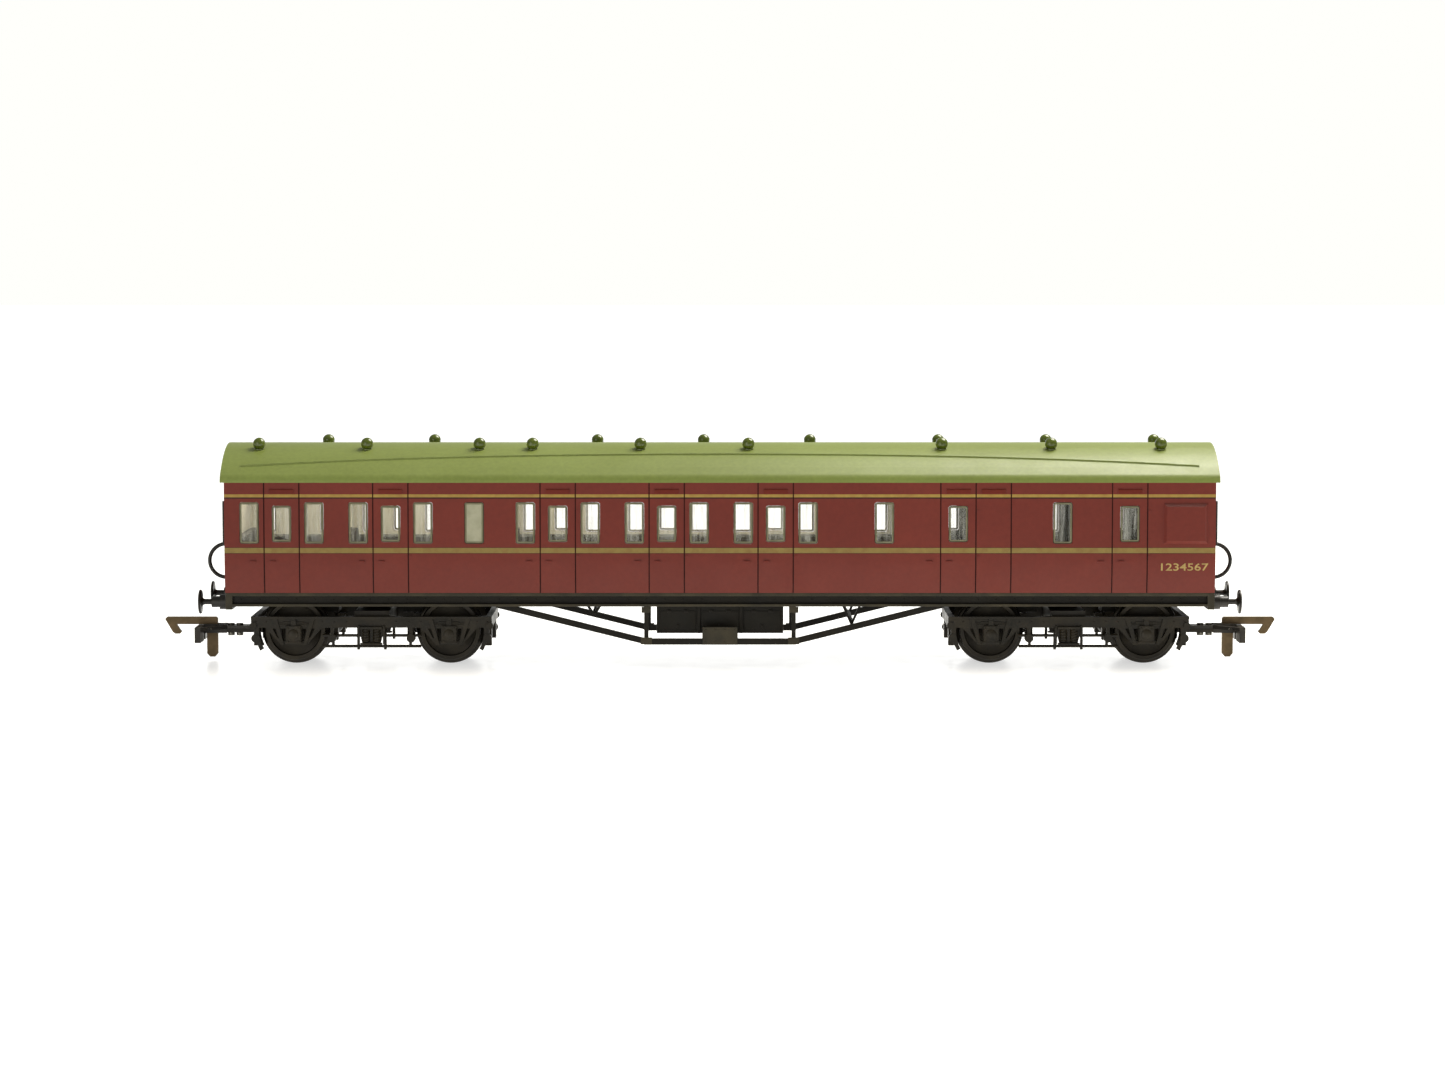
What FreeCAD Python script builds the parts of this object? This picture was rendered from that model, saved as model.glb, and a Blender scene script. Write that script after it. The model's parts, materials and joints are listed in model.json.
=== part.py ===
import FreeCAD, Part
import math
import os

# 4 mm scale (1:76) non-corridor bogie passenger coach with a luggage and guard's section.
# Millimetres.  +X runs along the coach towards the guard's end, +Z is up, and the origin is
# the centre of the footprint at the bottom of the wheel flanges.
# "Front" pieces are at the passenger end (-X) and "rear" pieces at the guard's end (+X).

# ---- driving dimensions: body and roof ----
BODY_LENGTH = 228.0
BODY_WIDTH = 37.0
WHEEL_ROOM = 0.6
BODY_HEIGHT = 25.5
SIDE_WALL = 1.6
END_WALL = 1.6
TURN_UNDER = 0.7
TURN_UNDER_HEIGHT = 9.2
ROOF_RISE = 8.3
ROOF_WALL = 1.1
ROOF_SHOULDER = 2.5
ROOF_SIDE_LAP = 0.4
ROOF_END_LAP = 0.9
ROOF_RIB_DEPTH = 1.9
VENT_ROW_OFFSET = 7.8
VENT_RADIUS = 1.45
VENT_PIN_RADIUS = 0.5
RAIN_STRIP_WIDTH = 0.5
RAIN_STRIP_HEIGHT = 0.3
RAIN_STRIP_MIDDLE_INSET = 7.9
RAIN_STRIP_END_INSET = 3.3
RAIN_STRIP_END_GAP = 3.6

# ---- driving dimensions: doors and windows ----
COMPARTMENT_PITCH = 25.05
LAVATORY_LENGTH = 13.4
LUGGAGE_LENGTH = 88.5
FIRST_DOOR_INSET = 13.2
DOOR_WIDTH = 8.1
DOOR_GROOVE_WIDTH = 0.28
DOOR_GROOVE_DEPTH = 0.2
WINDOW_WIDTH = 4.5
WINDOW_CORNER = 0.6
WINDOW_SILL = 11.4
WINDOW_HEIGHT = 9.6
DOOR_WINDOW_SILL = 11.8
DOOR_WINDOW_HEIGHT = 8.4
SIDE_WINDOW_OFFSET = 7.45
GLAZING_WALL = 0.8
GLAZING_RECESS = 0.12
DUCKET_LENGTH = 10.2
DUCKET_HEIGHT = 9.3
DUCKET_DEPTH = 0.8
DUCKET_INSET = 6.9
LUGGAGE_WINDOW_INSETS = (76.2, 35.2)
LUGGAGE_DOOR_INSET = 55.15
GUARD_DOOR_INSET = 19.75
HOOD_HEIGHT = 1.2
HOOD_DROP = 2.5
HANDLE_LENGTH = 1.4
HANDLE_SIZE = 0.4
HANDLE_RISE = 7.3
HINGE_RISES = (8.6, 19.0)
NEAR_VENT_SHIFT = -6.2
FAR_VENT_SHIFT = 8.4
LAVATORY_VENT_SHIFT = 0.7
LUGGAGE_VENT_INSETS = (62.5, 37.1, 11.6)

# ---- driving dimensions: interior ----
BENCH_DEPTH = 6.0
BENCH_HEIGHT = 4.6
BENCH_BACK = 2.0
BENCH_BACK_RISE = 12.6
INTERIOR_FLOOR = 0.8
PARTITION_WALL = 1.0
PARTITION_GAP = 1.2
GUARD_WALL_INSET = 43.0

# ---- driving dimensions: underframe ----
FLOOR_WALL = 0.8
LOCATING_DEPTH = 1.6
SOLEBAR_DEPTH = 3.2
SOLEBAR_WEB_INSET = 3.0
SOLEBAR_WEB = 0.8
SOLEBAR_FLANGE = 0.6
SOLEBAR_FLANGE_INSET = 1.0
HEADSTOCK_DEPTH = 3.9
HEADSTOCK_WALL = 1.6
WEIGHT_LENGTH = 118.0
WEIGHT_WIDTH = 22.0
WEIGHT_THICKNESS = 1.2
TRUSS_WALL = 1.2
TRUSS_BOTTOM = 5.2
TRUSS_BAR = 1.4
TRUSS_RAKE_FOOT = 4.6
TRUSS_POST_X = 17.0
TRUSS_BOGIE_GAP = 29.0
BOGIE_TIES = ((-13.0, -6.6), (8.5, 12.4))
BOSS_TIE = (-5.6, -2.5)
TIE_HALF_WIDTH = 3.5
HANGER_FROM_POST = (12.2, 13.5)
HANGER_DEPTH = (2.6, 4.6)
HANGER_SPREAD = 3.4
HANGER_STRIP = 0.5
BATTERY_BOX_LENGTH = 29.4
BATTERY_BOX_WIDTH = 24.0
BATTERY_BOX_BOTTOM = 7.4
BUFFER_SPACING = 22.8
BUFFER_DROP = 2.6
BUFFER_HEAD_RADIUS = 2.8
BUFFER_SHANK_RADIUS = 0.65
BUFFER_PROJECTION = 7.0
BUFFER_TRAVEL = 1.0
PIPE_RADIUS = 0.45
PIPE_BEND = 3.9
PIPE_STRAIGHT = 0.7
PIPE_OFFSET = 9.0

# ---- driving dimensions: bogies, wheels and couplings ----
BOGIE_INSET = 33.25
WHEELBASE = 36.0
TREAD_RADIUS = 7.05
FLANGE_DEPTH = 0.9
BACK_TO_BACK = 14.5
WHEEL_WIDTH = 2.8
FLANGE_WIDTH = 0.8
AXLE_RADIUS = 1.0
AXLE_LENGTH = 26.0
AXLE_POINT = 1.5
AXLE_BEARING_DEPTH = 1.2
FRAME_WALL = 1.6
FRAME_BAR_RISE = 0.85
FRAME_BAR_HEIGHT = 2.6
FRAME_END_ROOM = 1.95
BRAKE_ARM_BACK = 0.8
BRAKE_ARM_WIDTH = 0.95
BRAKE_ARM_DROP = 30
BRAKE_ARM_RISE = 10
BRAKE_BOSS_RADIUS = 1.0
BRAKE_BOSS_DROP = 1.6
AXLEBOX_WIDTH = 3.4
AXLEBOX_DEPTH = 1.1
BOLSTER_HALF_WIDTH = 4.0
BOLSTER_RISE = 1.35
BOLSTER_HEIGHT = 3.3
PIVOT_BOSS_RADIUS = 3.2
PIVOT_SCREW_RADIUS = 1.0
BRAKE_ROD_RADIUS = 0.35
COUPLING_PLATE = 0.8
TONGUE_LENGTH = 7.0
COUPLING_PLATE_BOTTOM = 7.4
COUPLING_WIDTH = 15.0
HOOK_REACH = 10.6
HOOK_PIVOT_HEIGHT = 7.6
HOOK_WALL = 1.2
HOOK_PIN_RADIUS = 0.4
RIVET_RADIUS = 0.5

# ---- named clearances ----
LOOSE_FIT = 0.05
RUNNING_FIT = 0.06
MOVING_GAP = 0.35

# ---- derived places ----
WHEEL_CENTRE_Z = TREAD_RADIUS + FLANGE_DEPTH
FLANGE_RADIUS = TREAD_RADIUS + FLANGE_DEPTH
BODY_BOTTOM = 2 * FLANGE_RADIUS + WHEEL_ROOM + FLOOR_WALL
BODY_TOP = BODY_BOTTOM + BODY_HEIGHT
ROOF_CROWN = BODY_TOP + ROOF_RISE
HALF_LENGTH = BODY_LENGTH / 2
HALF_WIDTH = BODY_WIDTH / 2
INNER_HALF_WIDTH = HALF_WIDTH - SIDE_WALL
INNER_HALF_LENGTH = HALF_LENGTH - END_WALL
ROOF_HALF_WIDTH = HALF_WIDTH + ROOF_SIDE_LAP
ROOF_HALF_LENGTH = HALF_LENGTH + ROOF_END_LAP
FLOOR_BOTTOM = BODY_BOTTOM - FLOOR_WALL
FLOOR_TOP = BODY_BOTTOM + LOCATING_DEPTH
SOLEBAR_BOTTOM = BODY_BOTTOM - SOLEBAR_DEPTH
SOLEBAR_WEB_INNER = HALF_WIDTH - SOLEBAR_WEB_INSET
SOLEBAR_FLANGE_OUTER = HALF_WIDTH - SOLEBAR_FLANGE_INSET
BUFFER_HEIGHT = BODY_BOTTOM - BUFFER_DROP
BOGIE_X = HALF_LENGTH - BOGIE_INSET
FRAME_INNER = AXLE_LENGTH / 2 - AXLE_BEARING_DEPTH
FRAME_OUTER = FRAME_INNER + FRAME_WALL
FRAME_BAR_BOTTOM = WHEEL_CENTRE_Z + FRAME_BAR_RISE
FRAME_BAR_TOP = FRAME_BAR_BOTTOM + FRAME_BAR_HEIGHT
FRAME_END = WHEELBASE / 2 + FLANGE_RADIUS + FRAME_END_ROOM
END_BAR_BOTTOM = FRAME_BAR_BOTTOM + 0.1
END_BAR_TOP = FRAME_BAR_TOP
BOLSTER_BOTTOM = WHEEL_CENTRE_Z + BOLSTER_RISE
BOLSTER_TOP = BOLSTER_BOTTOM + BOLSTER_HEIGHT
BRAKE_ROD_LOW = WHEEL_CENTRE_Z - 3.55
BRAKE_ROD_HIGH = WHEEL_CENTRE_Z - 1.05
SHOE_BOTTOM = WHEEL_CENTRE_Z - 2.35
SHOE_TOP = WHEEL_CENTRE_Z + 2.25
HOOK_PIVOT = FRAME_END + HOOK_REACH
LAVATORY_AFTER = 2

V = FreeCAD.Vector


# ---------------------------------------------------------------- helpers

def box(x_range, y_range, z_range):
    """A block between two values along each axis."""
    size = [high - low for low, high in (x_range, y_range, z_range)]
    return Part.makeBox(*size, V(x_range[0], y_range[0], z_range[0]))


def both_sides(low, high):
    """The two Y ranges, near and far, of something |Y| from low to high."""
    return ((-high, -low), (low, high))


def cylinder_x(radius, x_low, x_high, y, z):
    return Part.makeCylinder(radius, x_high - x_low, V(x_low, y, z), V(1, 0, 0))


def cylinder_y(radius, y_low, y_high, x, z):
    return Part.makeCylinder(radius, y_high - y_low, V(x, y_low, z), V(0, 1, 0))


def cylinder_z(radius, z_low, z_high, x, y):
    return Part.makeCylinder(radius, z_high - z_low, V(x, y, z_low))


def plate_xz(outline, y_low, y_high):
    """A plate with its outline drawn in X and Z, between two Y values."""
    points = [V(x, y_low, z) for x, z in outline]
    face = Part.Face(Part.makePolygon(points + points[:1]))
    return face.extrude(V(0, y_high - y_low, 0))


def plate_xy(outline, z_low, z_high):
    """A plate with its outline drawn in X and Y, between two Z values."""
    points = [V(x, y, z_low) for x, y in outline]
    face = Part.Face(Part.makePolygon(points + points[:1]))
    return face.extrude(V(0, 0, z_high - z_low))


def bar_yz(outline, x_low, x_high):
    """A bar with its section drawn in Y and Z, between two X values."""
    points = [V(x_low, y, z) for y, z in outline]
    face = Part.Face(Part.makePolygon(points + points[:1]))
    return face.extrude(V(x_high - x_low, 0, 0))


def joined(shapes):
    """One clean solid from shapes that touch or overlap."""
    shapes = list(shapes)
    return shapes[0].multiFuse(shapes[1:]).removeSplitter()


def grouped(shapes):
    return Part.makeCompound(list(shapes))


def mirrored(shape, normal):
    return shape.mirror(V(0, 0, 0), normal)


def flipped_y(shape):
    return mirrored(shape, V(0, 1, 0))


def moved(shape, x=0.0, y=0.0, z=0.0):
    copy = shape.copy()
    copy.translate(V(x, y, z))
    return copy


# ---------------------------------------------------------------- door and window plan

def compartment_count():
    """How many compartments fit before the luggage section."""
    room = BODY_LENGTH - LUGGAGE_LENGTH - LAVATORY_LENGTH
    return int(room / COMPARTMENT_PITCH)


def compartment_doors():
    """X of the middle of each compartment door, from the passenger end."""
    first = -HALF_LENGTH + FIRST_DOOR_INSET
    doors = []
    for index in range(compartment_count()):
        shift = LAVATORY_LENGTH if index >= LAVATORY_AFTER else 0.0
        doors.append(first + index * COMPARTMENT_PITCH + shift)
    return doors


def lavatory_window():
    """X of the lavatory window, in the short section after the second compartment."""
    second = compartment_doors()[LAVATORY_AFTER - 1]
    return second + COMPARTMENT_PITCH / 2 + LAVATORY_LENGTH / 2


def luggage_windows():
    """X of the plain windows of the luggage and guard's section."""
    return [HALF_LENGTH - inset for inset in LUGGAGE_WINDOW_INSETS]


def luggage_doors():
    """X of the middle of the two luggage door leaves and the guard's door."""
    middle = HALF_LENGTH - LUGGAGE_DOOR_INSET
    return [middle - DOOR_WIDTH / 2, middle + DOOR_WIDTH / 2, HALF_LENGTH - GUARD_DOOR_INSET]


def plain_windows():
    windows = []
    for door in compartment_doors():
        windows += [door - SIDE_WINDOW_OFFSET, door + SIDE_WINDOW_OFFSET]
    return windows + luggage_windows()


def door_windows():
    leaf_with_window, _, guard_door = luggage_doors()
    return compartment_doors() + [leaf_with_window, guard_door]


def door_edges():
    edges = []
    for door in compartment_doors() + luggage_doors():
        edges += [door - DOOR_WIDTH / 2, door + DOOR_WIDTH / 2]
    return sorted({round(edge, 3) for edge in edges})


def partitions():
    """X of the walls between compartments."""
    doors = compartment_doors()
    half = COMPARTMENT_PITCH / 2
    walls = [door + half for door in doors]
    walls.append(doors[LAVATORY_AFTER] - half)
    return sorted(walls)


def window_prism(x, sill, height, y_low, y_high, shrink=0.0):
    """A round-cornered block through a window opening, smaller all round by shrink."""
    half = WINDOW_WIDTH / 2 - shrink
    low = BODY_BOTTOM + sill + shrink
    high = BODY_BOTTOM + sill + height - shrink
    block = box((x - half, x + half), (y_low, y_high), (low, high))
    upright = [edge for edge in block.Edges if abs(edge.tangentAt(0).y) > 0.99]
    return block.makeFillet(WINDOW_CORNER - shrink, upright)


def window_plan():
    """Every glazed window as (x, sill, height)."""
    plan = [(x, WINDOW_SILL, WINDOW_HEIGHT) for x in plain_windows()]
    return plan + [(x, DOOR_WINDOW_SILL, DOOR_WINDOW_HEIGHT) for x in door_windows()]


# ---------------------------------------------------------------- body sections

def body_section(half_width):
    """Face across the body sides, flat above and turned under below."""
    tangent_z = BODY_BOTTOM + TURN_UNDER_HEIGHT
    radius = (TURN_UNDER_HEIGHT ** 2 + TURN_UNDER ** 2) / (2 * TURN_UNDER)
    half_angle = math.asin(TURN_UNDER_HEIGHT / radius) / 2
    middle_y = half_width - radius + radius * math.cos(half_angle)
    middle_z = tangent_z - radius * math.sin(half_angle)
    foot_y = half_width - TURN_UNDER
    right = Part.Arc(
        V(0, foot_y, BODY_BOTTOM),
        V(0, middle_y, middle_z),
        V(0, half_width, tangent_z),
    )
    left = Part.Arc(
        V(0, -half_width, tangent_z),
        V(0, -middle_y, middle_z),
        V(0, -foot_y, BODY_BOTTOM),
    )
    corners = [
        V(0, half_width, tangent_z),
        V(0, half_width, BODY_TOP),
        V(0, -half_width, BODY_TOP),
        V(0, -half_width, tangent_z),
    ]
    edges = [right.toShape()]
    edges += [Part.makeLine(start, end) for start, end in zip(corners, corners[1:])]
    edges += [left.toShape(), Part.makeLine(V(0, -foot_y, BODY_BOTTOM), V(0, foot_y, BODY_BOTTOM))]
    return Part.Face(Part.Wire(edges))


def roof_section(inset):
    """Face under the roof's outer curve, set in from it by inset and closed at the eaves."""
    half_width = ROOF_HALF_WIDTH - inset
    rise = ROOF_RISE - inset
    shoulder = ROOF_SHOULDER - inset
    flank = half_width - shoulder
    crown_radius = (flank ** 2 + rise ** 2 - shoulder ** 2) / (2 * (rise - shoulder))
    crown_z = BODY_TOP + rise
    lean = math.atan2(crown_radius - rise, flank)
    join_y = flank + shoulder * math.cos(lean)
    join_z = BODY_TOP + shoulder * math.sin(lean)
    middle_y = flank + shoulder * math.cos(lean / 2)
    middle_z = BODY_TOP + shoulder * math.sin(lean / 2)
    right = Part.Arc(V(0, half_width, BODY_TOP), V(0, middle_y, middle_z), V(0, join_y, join_z))
    crown = Part.Arc(V(0, join_y, join_z), V(0, 0, crown_z), V(0, -join_y, join_z))
    left = Part.Arc(V(0, -join_y, join_z), V(0, -middle_y, middle_z), V(0, -half_width, BODY_TOP))
    base = Part.makeLine(V(0, -half_width, BODY_TOP), V(0, half_width, BODY_TOP))
    return Part.Face(Part.Wire([right.toShape(), crown.toShape(), left.toShape(), base]))


def along_coach(face, x_low, x_high):
    """Sweep a section face from one X to another."""
    return moved(face, x=x_low).extrude(V(x_high - x_low, 0, 0))


def roof_height(y):
    """Z of the roof's outer surface at a distance y from the middle."""
    flank = ROOF_HALF_WIDTH - ROOF_SHOULDER
    crown_radius = (flank ** 2 + ROOF_RISE ** 2 - ROOF_SHOULDER ** 2) / (2 * (ROOF_RISE - ROOF_SHOULDER))
    return ROOF_CROWN - crown_radius + math.sqrt(crown_radius ** 2 - y ** 2)


# ---------------------------------------------------------------- body

def door_grooves():
    """The thin skin of the sides at each door edge."""
    span = (-INNER_HALF_LENGTH, INNER_HALF_LENGTH)
    outer = along_coach(body_section(HALF_WIDTH), *span)
    inner = along_coach(body_section(HALF_WIDTH - DOOR_GROOVE_DEPTH), *span)
    half = DOOR_GROOVE_WIDTH / 2
    reach = (-HALF_WIDTH - 1, HALF_WIDTH + 1)
    slabs = [box((x - half, x + half), reach, (BODY_BOTTOM - 1, BODY_TOP)) for x in door_edges()]
    return grouped([outer.cut(inner).common(slab) for slab in slabs])


def door_hoods():
    """The louvre hood above each door on both sides."""
    low = BODY_TOP - HOOD_DROP
    half = DOOR_WIDTH / 2 - 1.3
    section = [
        (HALF_WIDTH - 0.2, low),
        (HALF_WIDTH + 0.4, low),
        (HALF_WIDTH + 0.25, low + 0.9),
        (HALF_WIDTH - 0.2, low + HOOD_HEIGHT),
    ]
    hoods = []
    for x in compartment_doors() + luggage_doors():
        hood = bar_yz(section, x - half, x + half)
        hoods += [hood, flipped_y(hood)]
    return hoods


def stud(x, z, width, height, stand):
    """A small block raised from the near side of the body by stand."""
    return box(
        (x - width / 2, x + width / 2),
        (-HALF_WIDTH - stand, -HALF_WIDTH + 0.4),
        (z - height / 2, z + height / 2),
    )


def door_furniture():
    """Handle, grab handle and hinges of each door, moulded on the side."""
    handle_z = BODY_BOTTOM + HANDLE_RISE
    pieces = []
    for door in compartment_doors() + [luggage_doors()[0], luggage_doors()[2]]:
        closing_edge = door - DOOR_WIDTH / 2
        hinge_x = door + DOOR_WIDTH / 2 + 0.5
        for x in (closing_edge + 2.0, closing_edge - 2.6):
            pieces.append(stud(x, handle_z, HANDLE_LENGTH, HANDLE_SIZE, 0.3))
        for rise in HINGE_RISES:
            pieces.append(stud(hinge_x, BODY_BOTTOM + rise, 0.6, 0.5, 0.15))
    return pieces + [flipped_y(piece) for piece in pieces]


def duckets():
    """The guard's side lookouts: shallow boxes with sloping edges."""
    middle = HALF_LENGTH - DUCKET_INSET
    low = BODY_BOTTOM + WINDOW_SILL
    block = box(
        (middle - DUCKET_LENGTH / 2, middle + DUCKET_LENGTH / 2),
        (-HALF_WIDTH - DUCKET_DEPTH, -HALF_WIDTH + 0.4),
        (low, low + DUCKET_HEIGHT),
    )
    rim = [e for e in block.Edges if abs(e.CenterOfMass.y + HALF_WIDTH + DUCKET_DEPTH) < 1e-6]
    ducket = block.makeChamfer(DUCKET_DEPTH * 0.9, rim)
    return [ducket, flipped_y(ducket)]


def body_shell():
    """Sides and ends in one moulding, open below and above, with arched end tops."""
    shell = along_coach(body_section(HALF_WIDTH), -HALF_LENGTH, HALF_LENGTH)
    cavity = box(
        (-INNER_HALF_LENGTH, INNER_HALF_LENGTH),
        (-INNER_HALF_WIDTH, INNER_HALF_WIDTH),
        (BODY_BOTTOM - 1, BODY_TOP + 1),
    )
    shell = shell.cut(cavity)
    arch = roof_section(ROOF_WALL + LOOSE_FIT)
    ends = [
        along_coach(arch, INNER_HALF_LENGTH, HALF_LENGTH),
        along_coach(arch, -HALF_LENGTH, -INNER_HALF_LENGTH),
    ]
    shell = joined([shell] + ends + door_hoods() + duckets() + door_furniture())
    reach = HALF_WIDTH + 1
    cutters = [window_prism(x, sill, height, -reach, reach) for x, sill, height in window_plan()]
    cutters.append(window_prism(lavatory_window(), WINDOW_SILL, WINDOW_HEIGHT, -reach, reach))
    return shell.cut(grouped(cutters)).cut(door_grooves())


def glazing(near):
    """Clear strip behind the windows of one side, with a raised pane in each opening."""
    strip_outer = INNER_HALF_WIDTH - LOOSE_FIT
    strip_inner = strip_outer - GLAZING_WALL
    pane_face = HALF_WIDTH - GLAZING_RECESS
    windows = window_plan()
    first = min(x for x, _, _ in windows) - WINDOW_WIDTH / 2
    last = max(x for x, _, _ in windows) + WINDOW_WIDTH / 2
    margin = 1.0
    low = BODY_BOTTOM + WINDOW_SILL - margin
    high = BODY_BOTTOM + WINDOW_SILL + WINDOW_HEIGHT + margin
    strip = box((first - margin, last + margin), (-strip_outer, -strip_inner), (low, high))
    panes = [window_prism(x, s, h, -pane_face, -strip_outer, LOOSE_FIT) for x, s, h in windows]
    shape = joined([strip] + panes)
    return shape if near else flipped_y(shape)


def lavatory_panes():
    """Frosted panes in the lavatory windows of both sides, against the clear strip."""
    strip_outer = INNER_HALF_WIDTH - LOOSE_FIT
    pane_face = HALF_WIDTH - GLAZING_RECESS
    x = lavatory_window()
    pane = window_prism(x, WINDOW_SILL, WINDOW_HEIGHT, -pane_face, -strip_outer, LOOSE_FIT)
    return grouped([pane, flipped_y(pane)])


# ---------------------------------------------------------------- roof

def roof_ribs():
    """Locating ribs that drop inside the body sides."""
    outer = INNER_HALF_WIDTH - LOOSE_FIT
    ribs = []
    for x in (-0.42 * BODY_LENGTH, -0.14 * BODY_LENGTH, 0.14 * BODY_LENGTH, 0.42 * BODY_LENGTH):
        for y_range in both_sides(outer - 1.0, outer):
            ribs.append(box((x - 5, x + 5), y_range, (BODY_TOP - ROOF_RIB_DEPTH, BODY_TOP + 4)))
    return ribs


def rain_strips():
    """The long shallow curve of raised strip on each side of the roof."""
    span = HALF_LENGTH - RAIN_STRIP_END_GAP
    middle_y = ROOF_HALF_WIDTH - RAIN_STRIP_MIDDLE_INSET
    end_y = ROOF_HALF_WIDTH - RAIN_STRIP_END_INSET
    half = RAIN_STRIP_WIDTH / 2
    tall = (BODY_TOP - 1, ROOF_CROWN + 2)
    paths = []
    for offset in (-half, half):
        ends = [V(x, end_y + offset, tall[0]) for x in (-span, span)]
        paths.append((ends[0], V(0, middle_y + offset, tall[0]), ends[1]))
    inner, outer = paths
    edges = [
        Part.Arc(*inner).toShape(),
        Part.makeLine(inner[2], outer[2]),
        Part.Arc(*outer[::-1]).toShape(),
        Part.makeLine(outer[0], inner[0]),
    ]
    curtain = Part.Face(Part.Wire(edges)).extrude(V(0, 0, tall[1] - tall[0]))
    raised = along_coach(roof_section(-RAIN_STRIP_HEIGHT), -HALF_LENGTH, HALF_LENGTH)
    sunk = along_coach(roof_section(ROOF_WALL / 2), -HALF_LENGTH, HALF_LENGTH)
    strip = curtain.common(raised).cut(sunk)
    return [strip, flipped_y(strip)]


def vent_places():
    """X and Y of each roof ventilator: two staggered rows, paired over the luggage section."""
    doors = compartment_doors()
    places = []
    for door in doors:
        places.append((door + NEAR_VENT_SHIFT, -VENT_ROW_OFFSET))
        places.append((door + FAR_VENT_SHIFT, VENT_ROW_OFFSET))
    places.append((lavatory_window() + LAVATORY_VENT_SHIFT, -VENT_ROW_OFFSET))
    for inset in LUGGAGE_VENT_INSETS:
        places.append((HALF_LENGTH - inset, -VENT_ROW_OFFSET))
        places.append((HALF_LENGTH - inset, VENT_ROW_OFFSET))
    return places


def roof():
    """Curved shell with rain strips, locating ribs and holes for the ventilators."""
    outer = along_coach(roof_section(0.0), -ROOF_HALF_LENGTH, ROOF_HALF_LENGTH)
    inner = along_coach(roof_section(ROOF_WALL), -ROOF_HALF_LENGTH - 1, ROOF_HALF_LENGTH + 1)
    under_roof = along_coach(roof_section(ROOF_WALL / 2), -HALF_LENGTH, HALF_LENGTH)
    inside_body = box((-HALF_LENGTH, HALF_LENGTH), (-HALF_WIDTH, HALF_WIDTH), (0, BODY_TOP))
    ribs = [rib.common(under_roof) for rib in roof_ribs()]
    feet = [rib.common(inside_body) for rib in roof_ribs()]
    shell = joined([outer.cut(inner)] + ribs + feet + rain_strips())
    holes = []
    for x, y in vent_places():
        holes.append(cylinder_z(VENT_PIN_RADIUS + LOOSE_FIT, BODY_TOP, ROOF_CROWN + 1, x, y))
    return shell.cut(grouped(holes))


def roof_vents():
    """Round-topped ventilators, each with a neck on the roof and a pin through it."""
    envelope = along_coach(roof_section(0.0), -ROOF_HALF_LENGTH, ROOF_HALF_LENGTH)
    vents = []
    for x, y in vent_places():
        surface = roof_height(y)
        ball = Part.makeSphere(VENT_RADIUS, V(x, y, surface + VENT_RADIUS * 0.8))
        neck = cylinder_z(VENT_RADIUS * 0.7, surface - 1.0, surface + VENT_RADIUS * 0.8, x, y)
        above = joined([ball, neck]).cut(envelope)
        pin = cylinder_z(VENT_PIN_RADIUS, surface - ROOF_WALL - 0.4, surface + VENT_RADIUS * 0.8, x, y)
        vents.append(joined([above, pin]))
    return grouped(vents)


# ---------------------------------------------------------------- interior

def interior_unit():
    """Floor, partitions and facing bench seats in one moulding."""
    seat_floor = FLOOR_TOP + INTERIOR_FLOOR
    half_width = INNER_HALF_WIDTH - LOOSE_FIT - GLAZING_WALL - 0.25
    half_length = INNER_HALF_LENGTH - 0.4
    wall_top = BODY_TOP - PARTITION_GAP
    half_wall = PARTITION_WALL / 2
    across = (-half_width, half_width)
    pieces = [box((-half_length, half_length), across, (FLOOR_TOP, seat_floor))]
    for x in partitions():
        pieces.append(box((x - half_wall, x + half_wall), across, (FLOOR_TOP, wall_top)))
    rows = []
    for door in compartment_doors():
        rows += [(door - COMPARTMENT_PITCH / 2, 1), (door + COMPARTMENT_PITCH / 2, -1)]
    steps = ((BENCH_DEPTH, seat_floor + BENCH_HEIGHT), (BENCH_BACK, BODY_BOTTOM + BENCH_BACK_RISE))
    for x, facing_x in rows:
        x = max(x, -half_length)
        for depth, top in steps:
            ends = sorted((x, x + facing_x * depth))
            pieces.append(box(tuple(ends), across, (FLOOR_TOP, top)))
    guard_wall = HALF_LENGTH - GUARD_WALL_INSET
    guard_x = (guard_wall - half_wall, guard_wall + half_wall)
    pieces.append(box(guard_x, (-half_width, 4.0), (FLOOR_TOP, wall_top)))
    return joined(pieces)


# ---------------------------------------------------------------- underframe

def solebars():
    """Channel-section side members below the floor, with the channel open outwards."""
    web_outer = SOLEBAR_WEB_INNER + SOLEBAR_WEB
    section = [
        (SOLEBAR_WEB_INNER, SOLEBAR_BOTTOM),
        (SOLEBAR_FLANGE_OUTER, SOLEBAR_BOTTOM),
        (SOLEBAR_FLANGE_OUTER, SOLEBAR_BOTTOM + SOLEBAR_FLANGE),
        (web_outer, SOLEBAR_BOTTOM + SOLEBAR_FLANGE),
        (web_outer, FLOOR_BOTTOM),
        (SOLEBAR_WEB_INNER, FLOOR_BOTTOM),
    ]
    bar = bar_yz(section, -HALF_LENGTH, HALF_LENGTH)
    return [bar, flipped_y(bar)]


def weight_pocket(clearance):
    """The block that the steel weight fills, larger all round by clearance."""
    return box(
        (-WEIGHT_LENGTH / 2 - clearance, WEIGHT_LENGTH / 2 + clearance),
        (-WEIGHT_WIDTH / 2 - clearance, WEIGHT_WIDTH / 2 + clearance),
        (FLOOR_TOP - WEIGHT_THICKNESS, FLOOR_TOP),
    )


def bogie_ties():
    """Cross ties under the floor over each bogie, clear of the wheels as it swivels."""
    across = (-TIE_HALF_WIDTH, TIE_HALF_WIDTH)
    spans = [(span, FRAME_BAR_TOP + 0.1) for span in BOGIE_TIES]
    spans.append((BOSS_TIE, BOLSTER_TOP + MOVING_GAP))
    ties = []
    for side in (-1, 1):
        for (start, end), low in spans:
            x_range = sorted((side * (BOGIE_X + start), side * (BOGIE_X + end)))
            ties.append(box(tuple(x_range), across, (low, FLOOR_BOTTOM)))
    return ties


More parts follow.
